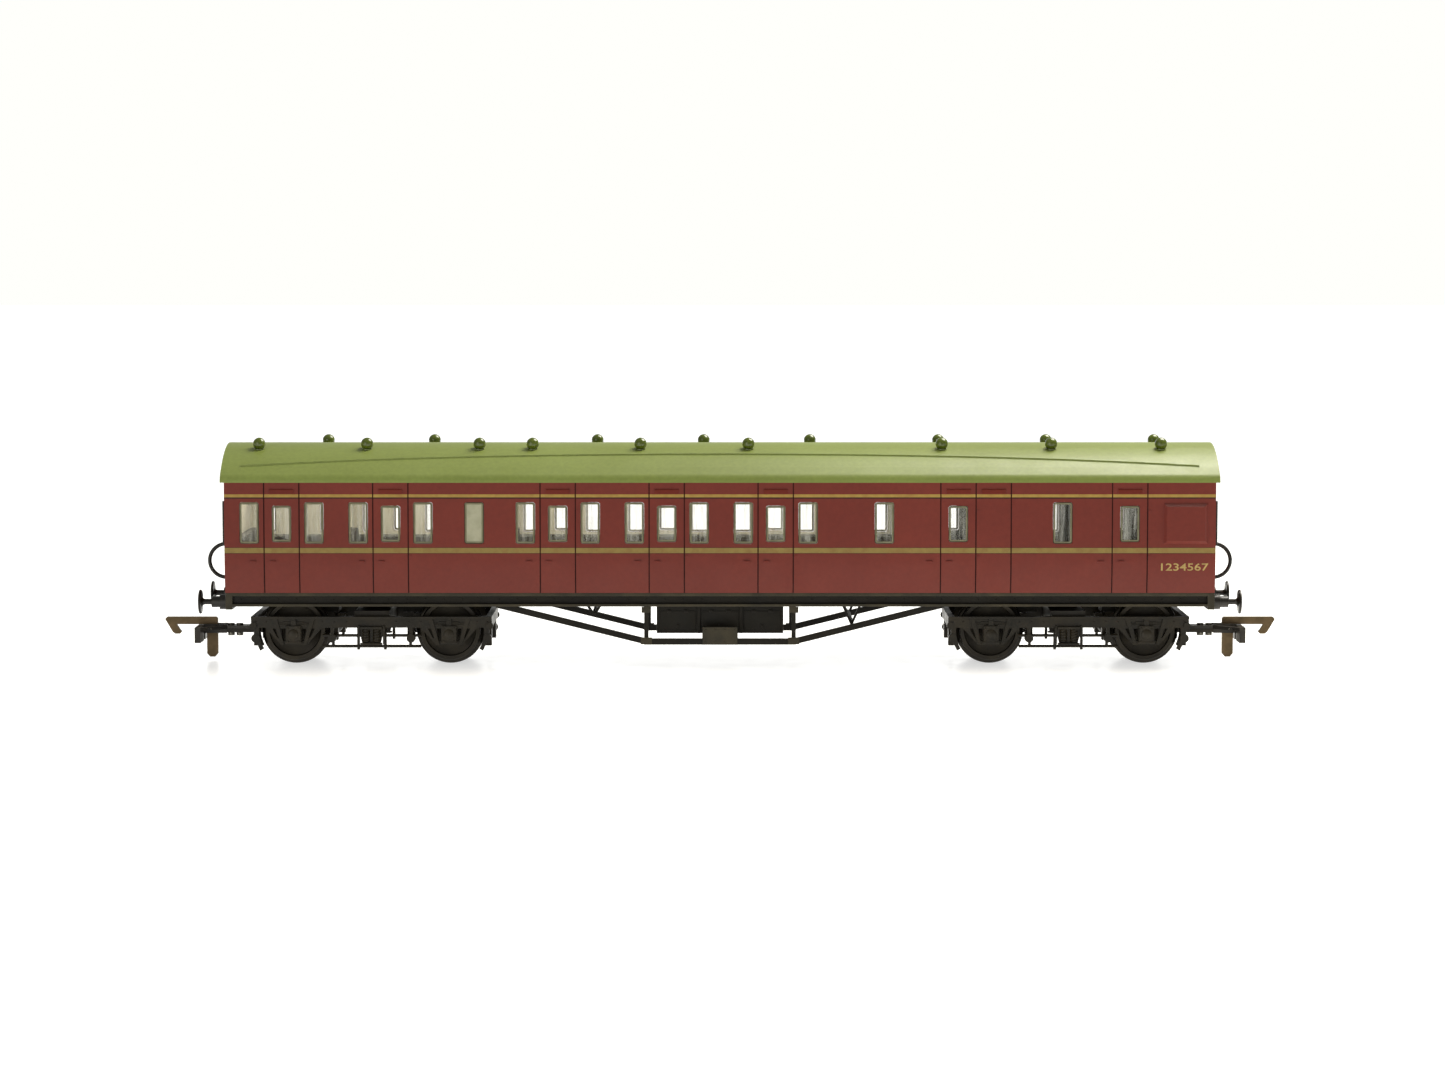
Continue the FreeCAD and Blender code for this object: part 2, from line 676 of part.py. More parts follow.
def underframe():
    """Floor plate with solebars, headstocks and the two bogie pivot bosses."""
    floor_half = SOLEBAR_FLANGE_OUTER
    plate = box((-HALF_LENGTH, HALF_LENGTH), (-floor_half, floor_half), (FLOOR_BOTTOM, BODY_BOTTOM))
    locating = box(
        (-INNER_HALF_LENGTH + LOOSE_FIT, INNER_HALF_LENGTH - LOOSE_FIT),
        (-INNER_HALF_WIDTH + LOOSE_FIT, INNER_HALF_WIDTH - LOOSE_FIT),
        (BODY_BOTTOM, FLOOR_TOP),
    )
    pieces = [plate, locating] + solebars()
    headstock_z = (BODY_BOTTOM - HEADSTOCK_DEPTH, BODY_BOTTOM)
    headstock_y = (-SOLEBAR_FLANGE_OUTER, SOLEBAR_FLANGE_OUTER)
    for side in (-1, 1):
        faces = sorted((side * HALF_LENGTH, side * (HALF_LENGTH - HEADSTOCK_WALL)))
        pieces.append(box(tuple(faces), headstock_y, headstock_z))
    for x in (-BOGIE_X, BOGIE_X):
        pieces.append(cylinder_z(PIVOT_BOSS_RADIUS, BOLSTER_TOP + LOOSE_FIT, FLOOR_BOTTOM, x, 0))
    pieces += bogie_ties()
    frame = joined(pieces).cut(weight_pocket(LOOSE_FIT))
    screw_holes = [
        cylinder_z(PIVOT_SCREW_RADIUS, BOLSTER_TOP - 1, FLOOR_BOTTOM + 0.4, x, 0) for x in (-BOGIE_X, BOGIE_X)
    ]
    return frame.cut(grouped(screw_holes))


def pivot_screw(x):
    """Shouldered screw that holds a bogie up against its boss."""
    head_top = BOLSTER_BOTTOM - LOOSE_FIT
    shank = cylinder_z(PIVOT_SCREW_RADIUS, head_top - 0.5, FLOOR_BOTTOM + 0.4, x, 0)
    head = cylinder_z(PIVOT_SCREW_RADIUS + 1.1, head_top - 1.0, head_top, x, 0)
    slot = box((x - 3, x + 3), (-0.3, 0.3), (head_top - 1.1, head_top - 0.6))
    return joined([shank, head]).cut(slot)


def truss(near):
    """Angle truss below one solebar: bottom bar, two posts, two raking bars and a centre plate."""
    inner = SOLEBAR_WEB_INNER + 0.1
    outer = inner + TRUSS_WALL
    end_x = BOGIE_X - TRUSS_BOGIE_GAP
    top = SOLEBAR_BOTTOM
    bar_top = TRUSS_BOTTOM + TRUSS_BAR
    post_half = 0.5
    rake = [
        (TRUSS_POST_X, TRUSS_BOTTOM),
        (end_x, top - 0.3),
        (end_x, top),
        (end_x - TRUSS_RAKE_FOOT, top),
        (TRUSS_POST_X, bar_top),
    ]
    pieces = [box((-TRUSS_POST_X, TRUSS_POST_X), (-outer, -inner), (TRUSS_BOTTOM, bar_top))]
    for side in (-1, 1):
        pieces.append(plate_xz([(side * x, z) for x, z in rake], -outer, -inner))
        post = side * TRUSS_POST_X
        pieces.append(box((post - post_half, post + post_half), (-outer, -inner), (TRUSS_BOTTOM, top)))
    pieces.append(box((-4.1, 4.1), (-outer - 0.2, -inner), (TRUSS_BOTTOM, TRUSS_BOTTOM + 4.2)))
    shape = joined(pieces)
    return shape if near else flipped_y(shape)


def battery_box():
    """Plain battery box under the floor, with two strengthening ribs."""
    half = BATTERY_BOX_LENGTH / 2
    half_width = BATTERY_BOX_WIDTH / 2
    case = box((-half, half), (-half_width, half_width), (BATTERY_BOX_BOTTOM, FLOOR_BOTTOM))
    ribs = []
    for x in (-half / 3, half / 3):
        for y_range in both_sides(half_width, half_width + 0.4):
            ribs.append(box((x - 0.4, x + 0.4), y_range, (BATTERY_BOX_BOTTOM, SOLEBAR_BOTTOM)))
    return joined([case] + ribs)


def brake_hangers():
    """V-shaped hangers that carry a cross shaft on each side of the battery box."""
    sets = []
    for side, reach, depth in zip((-1, 1), HANGER_FROM_POST, HANGER_DEPTH):
        x = side * (TRUSS_POST_X + reach)
        low = SOLEBAR_BOTTOM - depth
        outer, inner = HANGER_SPREAD, HANGER_SPREAD - HANGER_STRIP
        outline = [(x - outer, FLOOR_BOTTOM), (x - inner, FLOOR_BOTTOM), (x, low + 0.7)]
        outline += [(x + inner, FLOOR_BOTTOM), (x + outer, FLOOR_BOTTOM), (x + 0.3, low), (x - 0.3, low)]
        blades = [plate_xz(outline, y_low, y_low + 0.8) for y_low in (-12.4, 11.6)]
        shaft = cylinder_y(0.45, -13.0, 13.0, x, low + 0.6)
        sets.append(joined(blades + [shaft]))
    return grouped(sets)


def buffer_sockets():
    """The four (side, y) places of the buffers."""
    half = BUFFER_SPACING / 2
    return [(side, y) for side in (-1, 1) for y in (-half, half)]


def facing(shape, side):
    """A shape drawn for the +X end, mirrored when it belongs at the -X end."""
    return shape if side > 0 else mirrored(shape, V(1, 0, 0))


def buffer_housing_depth():
    """How far the housing stands out, leaving the head room for its travel."""
    return BUFFER_PROJECTION - 0.8 - BUFFER_TRAVEL - 1.3


def buffer_housings():
    """Stepped buffer bodies on both headstocks, bored for the shanks."""
    face = HALF_LENGTH
    nose = face + buffer_housing_depth()
    bodies = []
    for side, y in buffer_sockets():
        plate = box((face, face + 0.6), (y - 2.1, y + 2.1), (BUFFER_HEIGHT - 1.3, BUFFER_HEIGHT + 2.1))
        rear = cylinder_x(1.75, face, face + 2.0, y, BUFFER_HEIGHT)
        front = cylinder_x(1.3, face + 2.0, nose, y, BUFFER_HEIGHT)
        bore = cylinder_x(BUFFER_SHANK_RADIUS + RUNNING_FIT, face + 0.3, nose + 1, y, BUFFER_HEIGHT)
        bodies.append(facing(joined([plate, rear, front]).cut(bore), side))
    return grouped(bodies)


def buffer_head(side, y):
    """Round head on a thin shank that slides in its housing."""
    front = HALF_LENGTH + BUFFER_PROJECTION
    head = cylinder_x(BUFFER_HEAD_RADIUS, front - 0.8, front, y, BUFFER_HEIGHT)
    rim = [edge for edge in head.Edges if edge.CenterOfMass.x > front - 0.1 and edge.Closed]
    head = head.makeChamfer(0.2, rim)
    shank_rear = HALF_LENGTH + 0.3 + BUFFER_TRAVEL + 0.2
    shank = cylinder_x(BUFFER_SHANK_RADIUS, shank_rear, front - 0.5, y, BUFFER_HEIGHT)
    return facing(joined([head, shank]), side)


def end_pipe(side):
    """Hooped pipe on the body end: half a ring between two sockets on the wall."""
    z = BODY_BOTTOM + 6.8
    bend_x = HALF_LENGTH + PIPE_STRAIGHT
    ring = Part.makeCircle(PIPE_RADIUS, V(bend_x, -PIPE_OFFSET, z + PIPE_BEND), V(1, 0, 0))
    hoop = Part.Face(Part.Wire(ring)).revolve(V(bend_x, -PIPE_OFFSET, z), V(0, 1, 0), 180)
    sockets = []
    for end_z in (z - PIPE_BEND, z + PIPE_BEND):
        sockets.append(cylinder_x(PIPE_RADIUS, HALF_LENGTH, bend_x, -PIPE_OFFSET, end_z))
        sockets.append(cylinder_x(PIPE_RADIUS + 0.2, HALF_LENGTH, HALF_LENGTH + 0.6, -PIPE_OFFSET, end_z))
    return facing(joined([hoop] + sockets), side)


def end_rods():
    """Square upright rods on the corners of both end walls."""
    rods = []
    for side in (-1, 1):
        for y_range in both_sides(HALF_WIDTH - 1.3, HALF_WIDTH - 0.8):
            rod = box((HALF_LENGTH, HALF_LENGTH + 0.5), y_range, (BODY_BOTTOM + 11.2, BODY_BOTTOM + 21.2))
            rods.append(facing(rod, side))
    return grouped(rods)


# ---------------------------------------------------------------- bogies, drawn about their own centre
# X here is the distance from the bogie centre towards the coach end.

def axle_places():
    return (-WHEELBASE / 2, WHEELBASE / 2)


def horn_slots(x):
    """The upright slots through a horn plate, two on each side of the axlebox."""
    low, high = WHEEL_CENTRE_Z - 2.2, FRAME_BAR_BOTTOM - 0.2
    slots = []
    for side in (-1, 1):
        inner = [(x + side * 1.9, low), (x + side * 2.5, low), (x + side * 2.9, high), (x + side * 1.9, high)]
        outer = [(x + side * 3.5, low + 0.6), (x + side * 3.9, low + 0.9), (x + side * 4.9, high)]
        outer.append((x + side * 3.9, high))
        slots += [plate_xz(outline, FRAME_INNER - 1, FRAME_OUTER + 1) for outline in (inner, outer)]
    return slots


def brake_arms(x):
    """A curved brake arm round the wheel on its end side, and a boss and lug on both sides."""
    y = (FRAME_INNER + BRAKE_ARM_BACK, FRAME_OUTER)
    inner = FLANGE_RADIUS + 0.1
    outer = inner + BRAKE_ARM_WIDTH
    side = 1 if x > 0 else -1
    turns = [math.radians(degrees) for degrees in range(-BRAKE_ARM_DROP, BRAKE_ARM_RISE + 1, 4)]
    path = [(outer, turn) for turn in turns] + [(inner, turn) for turn in reversed(turns)]
    outline = [(x + side * r * math.cos(turn), WHEEL_CENTRE_Z + r * math.sin(turn)) for r, turn in path]
    pieces = [plate_xz(outline, *y)]
    boss_z = WHEEL_CENTRE_Z - BRAKE_BOSS_DROP
    for sign in (-1, 1):
        boss_x = x + sign * (FLANGE_RADIUS + 0.9)
        pieces.append(cylinder_y(BRAKE_BOSS_RADIUS, y[0], y[1] + 0.3, boss_x, boss_z))
        pieces.append(box((boss_x - 0.4, boss_x + 0.4), y, (boss_z, FRAME_BAR_BOTTOM + 0.1)))
    pieces.append(cylinder_y(0.8, y[0], y[1] + 0.4, side * (FRAME_END - 0.5), WHEEL_CENTRE_Z + 1.3))
    return pieces


def bogie_side():
    """The +Y side frame: top bar, horn plates, axleboxes, ribs and the bolster spring."""
    y = (FRAME_INNER, FRAME_OUTER)
    rib_y = (FRAME_OUTER - 0.2, FRAME_OUTER + 0.5)
    pieces = [box((-FRAME_END, FRAME_END), y, (FRAME_BAR_BOTTOM, FRAME_BAR_TOP))]
    pieces.append(box((-FRAME_END, FRAME_END), rib_y, (FRAME_BAR_TOP - 0.5, FRAME_BAR_TOP)))
    for x in axle_places():
        foot = WHEEL_CENTRE_Z - 3.1
        horn = [(x - 6.6, FRAME_BAR_BOTTOM), (x - 3.0, foot), (x + 3.0, foot), (x + 6.6, FRAME_BAR_BOTTOM)]
        pieces.append(plate_xz(horn, *y).cut(grouped(horn_slots(x))))
        pieces += brake_arms(x)
        half = AXLEBOX_WIDTH / 2
        box_y = (FRAME_INNER + 0.4, FRAME_OUTER + AXLEBOX_DEPTH)
        pieces.append(box((x - half, x + half), box_y, (WHEEL_CENTRE_Z - 2.7, WHEEL_CENTRE_Z + 1.3)))
        pieces.append(box((x - 0.5, x + 0.5), rib_y, (WHEEL_CENTRE_Z + 1.0, FRAME_BAR_TOP)))
        for side in (-1, 1):
            slant = [(x + side * 2.2, foot), (x + side * 2.9, foot)]
            slant += [(x + side * 5.0, FRAME_BAR_TOP - 0.2), (x + side * 3.9, FRAME_BAR_TOP - 0.2)]
            pieces.append(plate_xz(slant, *rib_y))
    spring_foot = WHEEL_CENTRE_Z - 3.05
    hanger_top = FRAME_BAR_BOTTOM + 1
    hanger = [(-3.2, hanger_top), (-2.1, spring_foot), (2.1, spring_foot), (3.2, hanger_top)]
    pieces.append(plate_xz(hanger, FRAME_INNER + 0.9, FRAME_OUTER))
    for x in (-1.2, 1.2):
        pieces.append(cylinder_z(0.85, SHOE_BOTTOM, FRAME_BAR_BOTTOM - 0.4, x, FRAME_OUTER))
    shape = joined(pieces)
    cones = [journal_cone(x) for x in axle_places()]
    return shape.cut(grouped(cones))


def journal_cone(x):
    """The hollow cone that an axle point runs in, with its clearance."""
    tip = AXLE_LENGTH / 2 + 0.15
    start = FRAME_INNER - 0.5
    slope = (AXLE_RADIUS - 0.12) / AXLE_POINT
    gap = RUNNING_FIT / math.cos(math.atan(slope))
    base = 0.12 + gap + (AXLE_LENGTH / 2 - start) * slope
    end = 0.12 + gap - 0.15 * slope
    return Part.makeCone(base, end, tip - start, V(x, start, WHEEL_CENTRE_Z), V(0, 1, 0))


def bogie_frame():
    """Two side frames joined by the bolster and the end bars, with the coupling tongue."""
    side = bogie_side()
    reach = (-FRAME_INNER - 0.2, FRAME_INNER + 0.2)
    bolster = box((-BOLSTER_HALF_WIDTH, BOLSTER_HALF_WIDTH), reach, (BOLSTER_BOTTOM, BOLSTER_TOP))
    bar_z = (END_BAR_BOTTOM, END_BAR_TOP)
    bars = [box((end - 0.7, end + 0.7), reach, bar_z) for end in (-FRAME_END + 0.7, FRAME_END - 0.7)]
    tongue_bottom = COUPLING_PLATE_BOTTOM - 0.8
    tongue = box((FRAME_END - 1.4, FRAME_END + TONGUE_LENGTH), (-2.2, 2.2), (tongue_bottom, COUPLING_PLATE_BOTTOM))
    web = box((FRAME_END - 1.4, FRAME_END), (-2.2, 2.2), (tongue_bottom, END_BAR_BOTTOM + 0.4))
    frame = joined([side, flipped_y(side), bolster, tongue, web] + bars)
    bore = cylinder_z(PIVOT_SCREW_RADIUS + RUNNING_FIT, BOLSTER_BOTTOM - 1, BOLSTER_TOP + 1, 0, 0)
    return frame.cut(grouped([bore] + rivet_shanks()))


def brake_shoe(wheel_x, side, near, far, z):
    """One block beside a wheel, between two distances from its flange, hollowed to clear it."""
    centre = wheel_x + side * FLANGE_RADIUS
    ends = sorted((centre + side * near, centre + side * far))
    wheel_inner = BACK_TO_BACK / 2
    block = box(tuple(ends), (wheel_inner + 0.2, wheel_inner + WHEEL_WIDTH), z)
    clear = cylinder_y(FLANGE_RADIUS + MOVING_GAP, 0, AXLE_LENGTH, wheel_x, WHEEL_CENTRE_Z)
    return block.cut(clear)


def brake_rigging():
    """Inner shoes with cross beams and pull rods, and the outer shoes below the end bars."""
    shoe_x = WHEELBASE / 2 - FLANGE_RADIUS - 1.1
    rod_y = FRAME_INNER + 0.35
    high, low = BRAKE_ROD_HIGH, BRAKE_ROD_LOW
    pieces = []
    for side in (-1, 1):
        pieces.append(cylinder_y(0.45, -rod_y, rod_y, side * shoe_x, high))
        for y in (-rod_y, rod_y):
            pieces.append(cylinder_z(BRAKE_ROD_RADIUS, low - 0.8, FRAME_BAR_BOTTOM, side * 3.1, y))
            pieces.append(cylinder_z(BRAKE_ROD_RADIUS, low, high, side * shoe_x, y))
        shoe = brake_shoe(side * WHEELBASE / 2, -side, MOVING_GAP - 0.1, 2.0, (SHOE_BOTTOM, SHOE_TOP))
        pieces += [shoe, flipped_y(shoe)]
    for y in (-rod_y, rod_y):
        for z in (low, high):
            pieces.append(cylinder_x(BRAKE_ROD_RADIUS, -shoe_x - 2.5, shoe_x + 2.5, y, z))
    outer = []
    for side in (-1, 1):
        far = FRAME_END - 0.25 - WHEELBASE / 2 - FLANGE_RADIUS
        shoe = brake_shoe(side * WHEELBASE / 2, side, -2.1, far, (SHOE_BOTTOM - 1.3, END_BAR_BOTTOM))
        outer += [shoe, flipped_y(shoe)]
    return grouped([joined(pieces)] + outer)


def axle(x):
    """Steel axle with a point at each end."""
    straight = AXLE_LENGTH / 2 - AXLE_POINT
    bar = cylinder_y(AXLE_RADIUS, -straight, straight, x, WHEEL_CENTRE_Z)
    point = Part.makeCone(AXLE_RADIUS, 0.12, AXLE_POINT, V(x, straight, WHEEL_CENTRE_Z), V(0, 1, 0))
    return joined([bar, point, flipped_y(point)])


def wheel_profile():
    """Radius and distance out from the wheel's back face, for the turned outline."""
    rim = 1.3
    web_back, web_front = 1.0, 1.9
    return [
        (AXLE_RADIUS, 0.0),
        (2.0, 0.0),
        (2.3, web_back),
        (TREAD_RADIUS - rim, web_back),
        (TREAD_RADIUS - rim + 0.2, 0.0),
        (FLANGE_RADIUS - 0.3, 0.0),
        (FLANGE_RADIUS, 0.3),
        (FLANGE_RADIUS - 0.1, FLANGE_WIDTH - 0.2),
        (TREAD_RADIUS + 0.1, FLANGE_WIDTH),
        (TREAD_RADIUS, WHEEL_WIDTH - 0.2),
        (TREAD_RADIUS - 0.2, WHEEL_WIDTH),
        (TREAD_RADIUS - rim + 0.2, WHEEL_WIDTH),
        (TREAD_RADIUS - rim, web_front),
        (2.3, web_front),
        (2.0, WHEEL_WIDTH),
        (AXLE_RADIUS, WHEEL_WIDTH),
    ]


def wheel_pair(x):
    """Two turned wheels pressed on one axle."""
    back = BACK_TO_BACK / 2
    points = [V(x + radius, back + out, WHEEL_CENTRE_Z) for radius, out in wheel_profile()]
    face = Part.Face(Part.makePolygon(points + points[:1]))
    wheel = face.revolve(V(x, 0, WHEEL_CENTRE_Z), V(0, 1, 0), 360)
    return grouped([wheel, flipped_y(wheel)])


# ---------------------------------------------------------------- couplings

def rivet_places():
    return (FRAME_END + 4.2, FRAME_END + 6.2)


def rivet_shanks():
    low = COUPLING_PLATE_BOTTOM - 0.8
    high = COUPLING_PLATE_BOTTOM + COUPLING_PLATE
    return [cylinder_z(RIVET_RADIUS, low, high, x, 0) for x in rivet_places()]


def coupling_rivets():
    """Two rivets through the tongue and the coupling plate, with long tails below."""
    low = COUPLING_PLATE_BOTTOM - 0.8
    high = COUPLING_PLATE_BOTTOM + COUPLING_PLATE
    rivets = []
    for shank, x in zip(rivet_shanks(), rivet_places()):
        tail = cylinder_z(RIVET_RADIUS + 0.3, low - 0.9, low, x, 0)
        head = cylinder_z(RIVET_RADIUS + 0.3, high, high + 0.4, x, 0)
        rivets.append(joined([shank, tail, head]))
    return grouped(rivets)


def coupling_loop():
    """Plate with two cheeks for the hook and a bumper bar across the front."""
    low = COUPLING_PLATE_BOTTOM
    high = low + COUPLING_PLATE
    half = COUPLING_WIDTH / 2
    stem_end = HOOK_PIVOT - 2.5
    bar_x = (HOOK_PIVOT + 1.9, HOOK_PIVOT + 3.3)
    cheek_inner = HOOK_WALL / 2 + MOVING_GAP
    cheek_outer = cheek_inner + 0.8
    stem = box((FRAME_END + 0.6, stem_end), (-2.0, 2.0), (low, high))
    pieces = [stem]
    for sign in (-1, 1):
        arm = [(stem_end - 1.6, 1.6), (bar_x[0], half), (bar_x[1], half), (bar_x[1], half - 1.6)]
        arm += [(bar_x[0], half - 1.6), (stem_end, 1.3)]
        pieces.append(plate_xy([(x, sign * y) for x, y in arm], low, high))
        cheek_y = sorted((sign * cheek_inner, sign * cheek_outer))
        pieces.append(box((stem_end - 1.0, bar_x[0]), tuple(cheek_y), (HOOK_PIVOT_HEIGHT - 1.2, high + 0.3)))
    bumper = box(bar_x, (-half, half), (low - 2.8, high))
    tail_slot = box((bar_x[0] - 1, bar_x[1] + 1), (-1.2, 1.2), (low - 4, low - 0.1))
    pin_hole = cylinder_y(HOOK_PIN_RADIUS, -half, half, HOOK_PIVOT, HOOK_PIVOT_HEIGHT)
    plate = joined(pieces + [bumper.cut(tail_slot)])
    return plate.cut(grouped([pin_hole] + rivet_shanks()))


def coupling_pin():
    """Pin through the cheeks that the hook turns on."""
    half = HOOK_WALL / 2 + MOVING_GAP + 0.8
    return cylinder_y(HOOK_PIN_RADIUS, -half, half, HOOK_PIVOT, HOOK_PIVOT_HEIGHT)


def coupling_hook():
    """Flat hook: an arm with a hooked nose and a long tail below the pivot."""
    outline = [
        (-1.3, 2.1),
        (-0.9, 2.5),
        (10.6, 2.5),
        (11.1, 2.0),
        (9.3, -1.1),
        (8.7, -1.5),
        (7.6, -1.5),
        (7.2, -1.0),
        (7.6, -0.5),
        (8.4, 0.75),
        (1.3, 0.75),
        (1.3, -6.1),
        (0.6, -6.9),
        (-0.6, -6.9),
        (-1.3, -6.1),
    ]
    points = [(HOOK_PIVOT + x, HOOK_PIVOT_HEIGHT + z) for x, z in outline]
    half = HOOK_WALL / 2
    hook = plate_xz(points, -half, half)
    return hook.cut(cylinder_y(HOOK_PIN_RADIUS + LOOSE_FIT, -1, 1, HOOK_PIVOT, HOOK_PIVOT_HEIGHT))


def bogie_pieces():
    """Every piece that hangs from one bogie, about the bogie's own centre."""
    inner, outer = axle_places()
    return {
        "bogie_frame": bogie_frame(),
        "brake_rigging": brake_rigging(),
        "inner_axle": axle(inner),
        "inner_wheels": wheel_pair(inner),
        "outer_axle": axle(outer),
        "outer_wheels": wheel_pair(outer),
        "coupling_loop": coupling_loop(),
        "coupling_rivets": coupling_rivets(),
        "coupling_pin": coupling_pin(),
        "coupling_hook": coupling_hook(),
    }


# ---------------------------------------------------------------- the whole coach

def coach_pieces():
    """Every node of the coach by name."""
    pieces = {
        "body_shell": body_shell(),
        "roof": roof(),
        "roof_vents": roof_vents(),
        "near_glazing": glazing(near=True),
        "far_glazing": glazing(near=False),
        "lavatory_panes": lavatory_panes(),
        "interior_unit": interior_unit(),
        "underframe": underframe(),
        "steel_weight": weight_pocket(0.0),
        "near_truss": truss(near=True),
        "far_truss": truss(near=False),
        "battery_box": battery_box(),
        "brake_hangers": brake_hangers(),
        "buffer_housings": buffer_housings(),
        "end_rods": end_rods(),
        "front_end_pipe": end_pipe(-1),
        "rear_end_pipe": end_pipe(1),
        "front_pivot_screw": pivot_screw(-BOGIE_X),
        "rear_pivot_screw": pivot_screw(BOGIE_X),
    }
    for side, y in buffer_sockets():
        name = "{}_{}_buffer_head".format("front" if side < 0 else "rear", "near" if y < 0 else "far")
        pieces[name] = buffer_head(side, y)
    for name, shape in bogie_pieces().items():
        pieces["front_" + name] = moved(mirrored(shape, V(1, 0, 0)), x=-BOGIE_X)
        pieces["rear_" + name] = moved(shape, x=BOGIE_X)
    return pieces


def main():
    os.makedirs("parts", exist_ok=True)
    for name, shape in coach_pieces().items():
        shape.exportStep("parts/{}.step".format(name))


main()
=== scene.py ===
"""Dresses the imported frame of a 4 mm scale passenger coach and sets up its studio.

Lengths in the classes are millimetres, as a model maker measures them, and become metres
when a piece is finished.  +X runs towards the guard's end, +Z is up, and the near side is -Y.
"""

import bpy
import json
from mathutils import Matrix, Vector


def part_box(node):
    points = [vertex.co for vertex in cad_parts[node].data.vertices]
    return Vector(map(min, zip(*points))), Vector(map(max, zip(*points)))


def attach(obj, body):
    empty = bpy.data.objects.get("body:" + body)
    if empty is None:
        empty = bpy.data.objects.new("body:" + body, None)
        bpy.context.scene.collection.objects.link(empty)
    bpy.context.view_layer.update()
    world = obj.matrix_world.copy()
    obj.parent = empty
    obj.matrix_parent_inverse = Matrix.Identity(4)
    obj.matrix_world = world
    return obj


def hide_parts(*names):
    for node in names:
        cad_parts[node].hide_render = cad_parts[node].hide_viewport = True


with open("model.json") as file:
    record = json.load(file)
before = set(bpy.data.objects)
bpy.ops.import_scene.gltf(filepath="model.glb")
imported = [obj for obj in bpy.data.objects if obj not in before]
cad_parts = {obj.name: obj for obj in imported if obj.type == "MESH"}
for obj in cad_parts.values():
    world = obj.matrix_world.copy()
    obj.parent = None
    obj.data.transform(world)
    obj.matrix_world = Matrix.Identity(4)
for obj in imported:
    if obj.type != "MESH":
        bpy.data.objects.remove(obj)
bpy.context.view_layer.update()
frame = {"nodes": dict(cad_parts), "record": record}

import json
import logging
import math
from dataclasses import dataclass, field
from enum import Enum
from typing import Iterable, Optional, Sequence

import bmesh
import bpy
from mathutils import Matrix, Vector

log = logging.getLogger("coach")
MM = 0.001
# How near two points are before they are welded, in millimetres: after a copy, and at the end.
COPY_WELD = 0.0005
LAST_WELD = 0.0004
# In degrees: below the first two faces are one, above the second an edge is shaded keen,
# and above the third it is rounded where rounding is asked for.
FLAT_ANGLE = 0.6
KEEN_ANGLE = 40.0
SOFTENED_ANGLE = 35.0
# How far off a plane a point may be and still count, and the least gap between two panes.
ON_PLANE = 0.001
PANE_GAP = 0.5
# Stands something drawn flat upright, facing the near side.
UPRIGHT = Matrix.Rotation(math.pi / 2, 3, "X")
Tree = bpy.types.NodeTree
Socket = bpy.types.NodeSocket
Box = tuple[Vector, Vector]


class Slot(Enum):
    """The record's material slots."""

    BODY = "body_paint"
    ROOF = "roof_paint"
    VENT = "vent_paint"
    CLEAR = "clear_glazing"
    FROSTED = "frosted_glazing"
    INTERIOR = "interior_plastic"
    UNDERFRAME = "underframe_plastic"
    BOGIE = "bogie_plastic"
    FITTING = "fitting_plastic"
    WEIGHT = "weight_steel"
    SCREW = "screw_steel"
    PIN = "pin_steel"
    AXLE = "axle_steel"
    WHEEL = "wheel_metal"
    COUPLING = "coupling_black"
    HOOK = "hook_metal"


class Way(Enum):
    """One of two opposite ways along an axis."""

    @property
    def word(self) -> str:
        """Its name in the CAD nodes."""
        return self.name.lower()


class End(Way):
    """The two ends of the coach and the way each one points along X."""

    FRONT = -1
    REAR = 1


class Side(Way):
    """The two sides of the coach and the way each one points along Y."""

    NEAR = -1
    FAR = 1


# ---------------------------------------------------------------- finishes


def linear(colour: str) -> tuple[float, float, float, float]:
    """Turns an sRGB hex colour into linear RGBA.

    Args:
        colour: six hex digits after a hash sign.

    Returns:
        The colour's linear channels and a full alpha.
    """
    channels = [int(colour[i : i + 2], 16) / 255 for i in (1, 3, 5)]
    curve = [c / 12.92 if c <= 0.04045 else ((c + 0.055) / 1.055) ** 2.4 for c in channels]
    return (curve[0], curve[1], curve[2], 1.0)


def per_mm(size: float) -> float:
    """The texture scale whose features are this many millimetres across."""
    return 1.0 / (size * MM)


def add_node(
    tree: Tree,
    kind: str,
    sockets: Optional[dict] = None,
    stops: Sequence[tuple[float, tuple]] = (),
    **settings: object,
) -> bpy.types.Node:
    """Adds one shader node with its settings and links.

    Args:
        tree: the material's node tree.
        kind: the node's type without its ShaderNode prefix.
        sockets: a value or another node's output for each input, by name or number.
        stops: positions and colours of a colour ramp.
        settings: the node's own properties.

    Returns:
        The new node.
    """
    node = tree.nodes.new("ShaderNode" + kind)
    for name, value in settings.items():
        setattr(node, name, value)
    for key, value in (sockets or {}).items():
        if isinstance(value, Socket):
            tree.links.new(value, node.inputs[key])
        else:
            node.inputs[key].default_value = value
    if stops:
        elements = node.color_ramp.elements
        while len(elements) < len(stops):
            elements.new(1.0)
        for element, (position, colour) in zip(elements, stops):
            element.position = position
            element.color = colour
    return node


def found(tree: Tree, kind: str, output: str) -> Socket:
    """An output of the first node of one kind."""
    return next(n for n in tree.nodes if n.bl_idname == "ShaderNode" + kind).outputs[output]


def noise(tree: Tree, place: Socket, size: float, detail: float) -> Socket:
    """Cloudy noise with features of a size in millimetres."""
    return add_node(tree, "TexNoise", {"Vector": place, "Scale": per_mm(size), "Detail": detail}).outputs["Fac"]


def spread(tree: Tree, value: Socket, source: tuple = (0.0, 1.0), target: tuple = (0.0, 1.0)) -> Socket:
    """Maps a value from one range onto another."""
    ends = {"From Min": source[0], "From Max": source[1], "To Min": target[0], "To Max": target[1]}
    return add_node(tree, "MapRange", {"Value": value, **ends}).outputs["Result"]


def reckon(tree: Tree, operation: str, *values: object) -> Socket:
    """The result of one sum on one or two values."""
    return add_node(tree, "Math", dict(enumerate(values)), operation=operation).outputs[0]


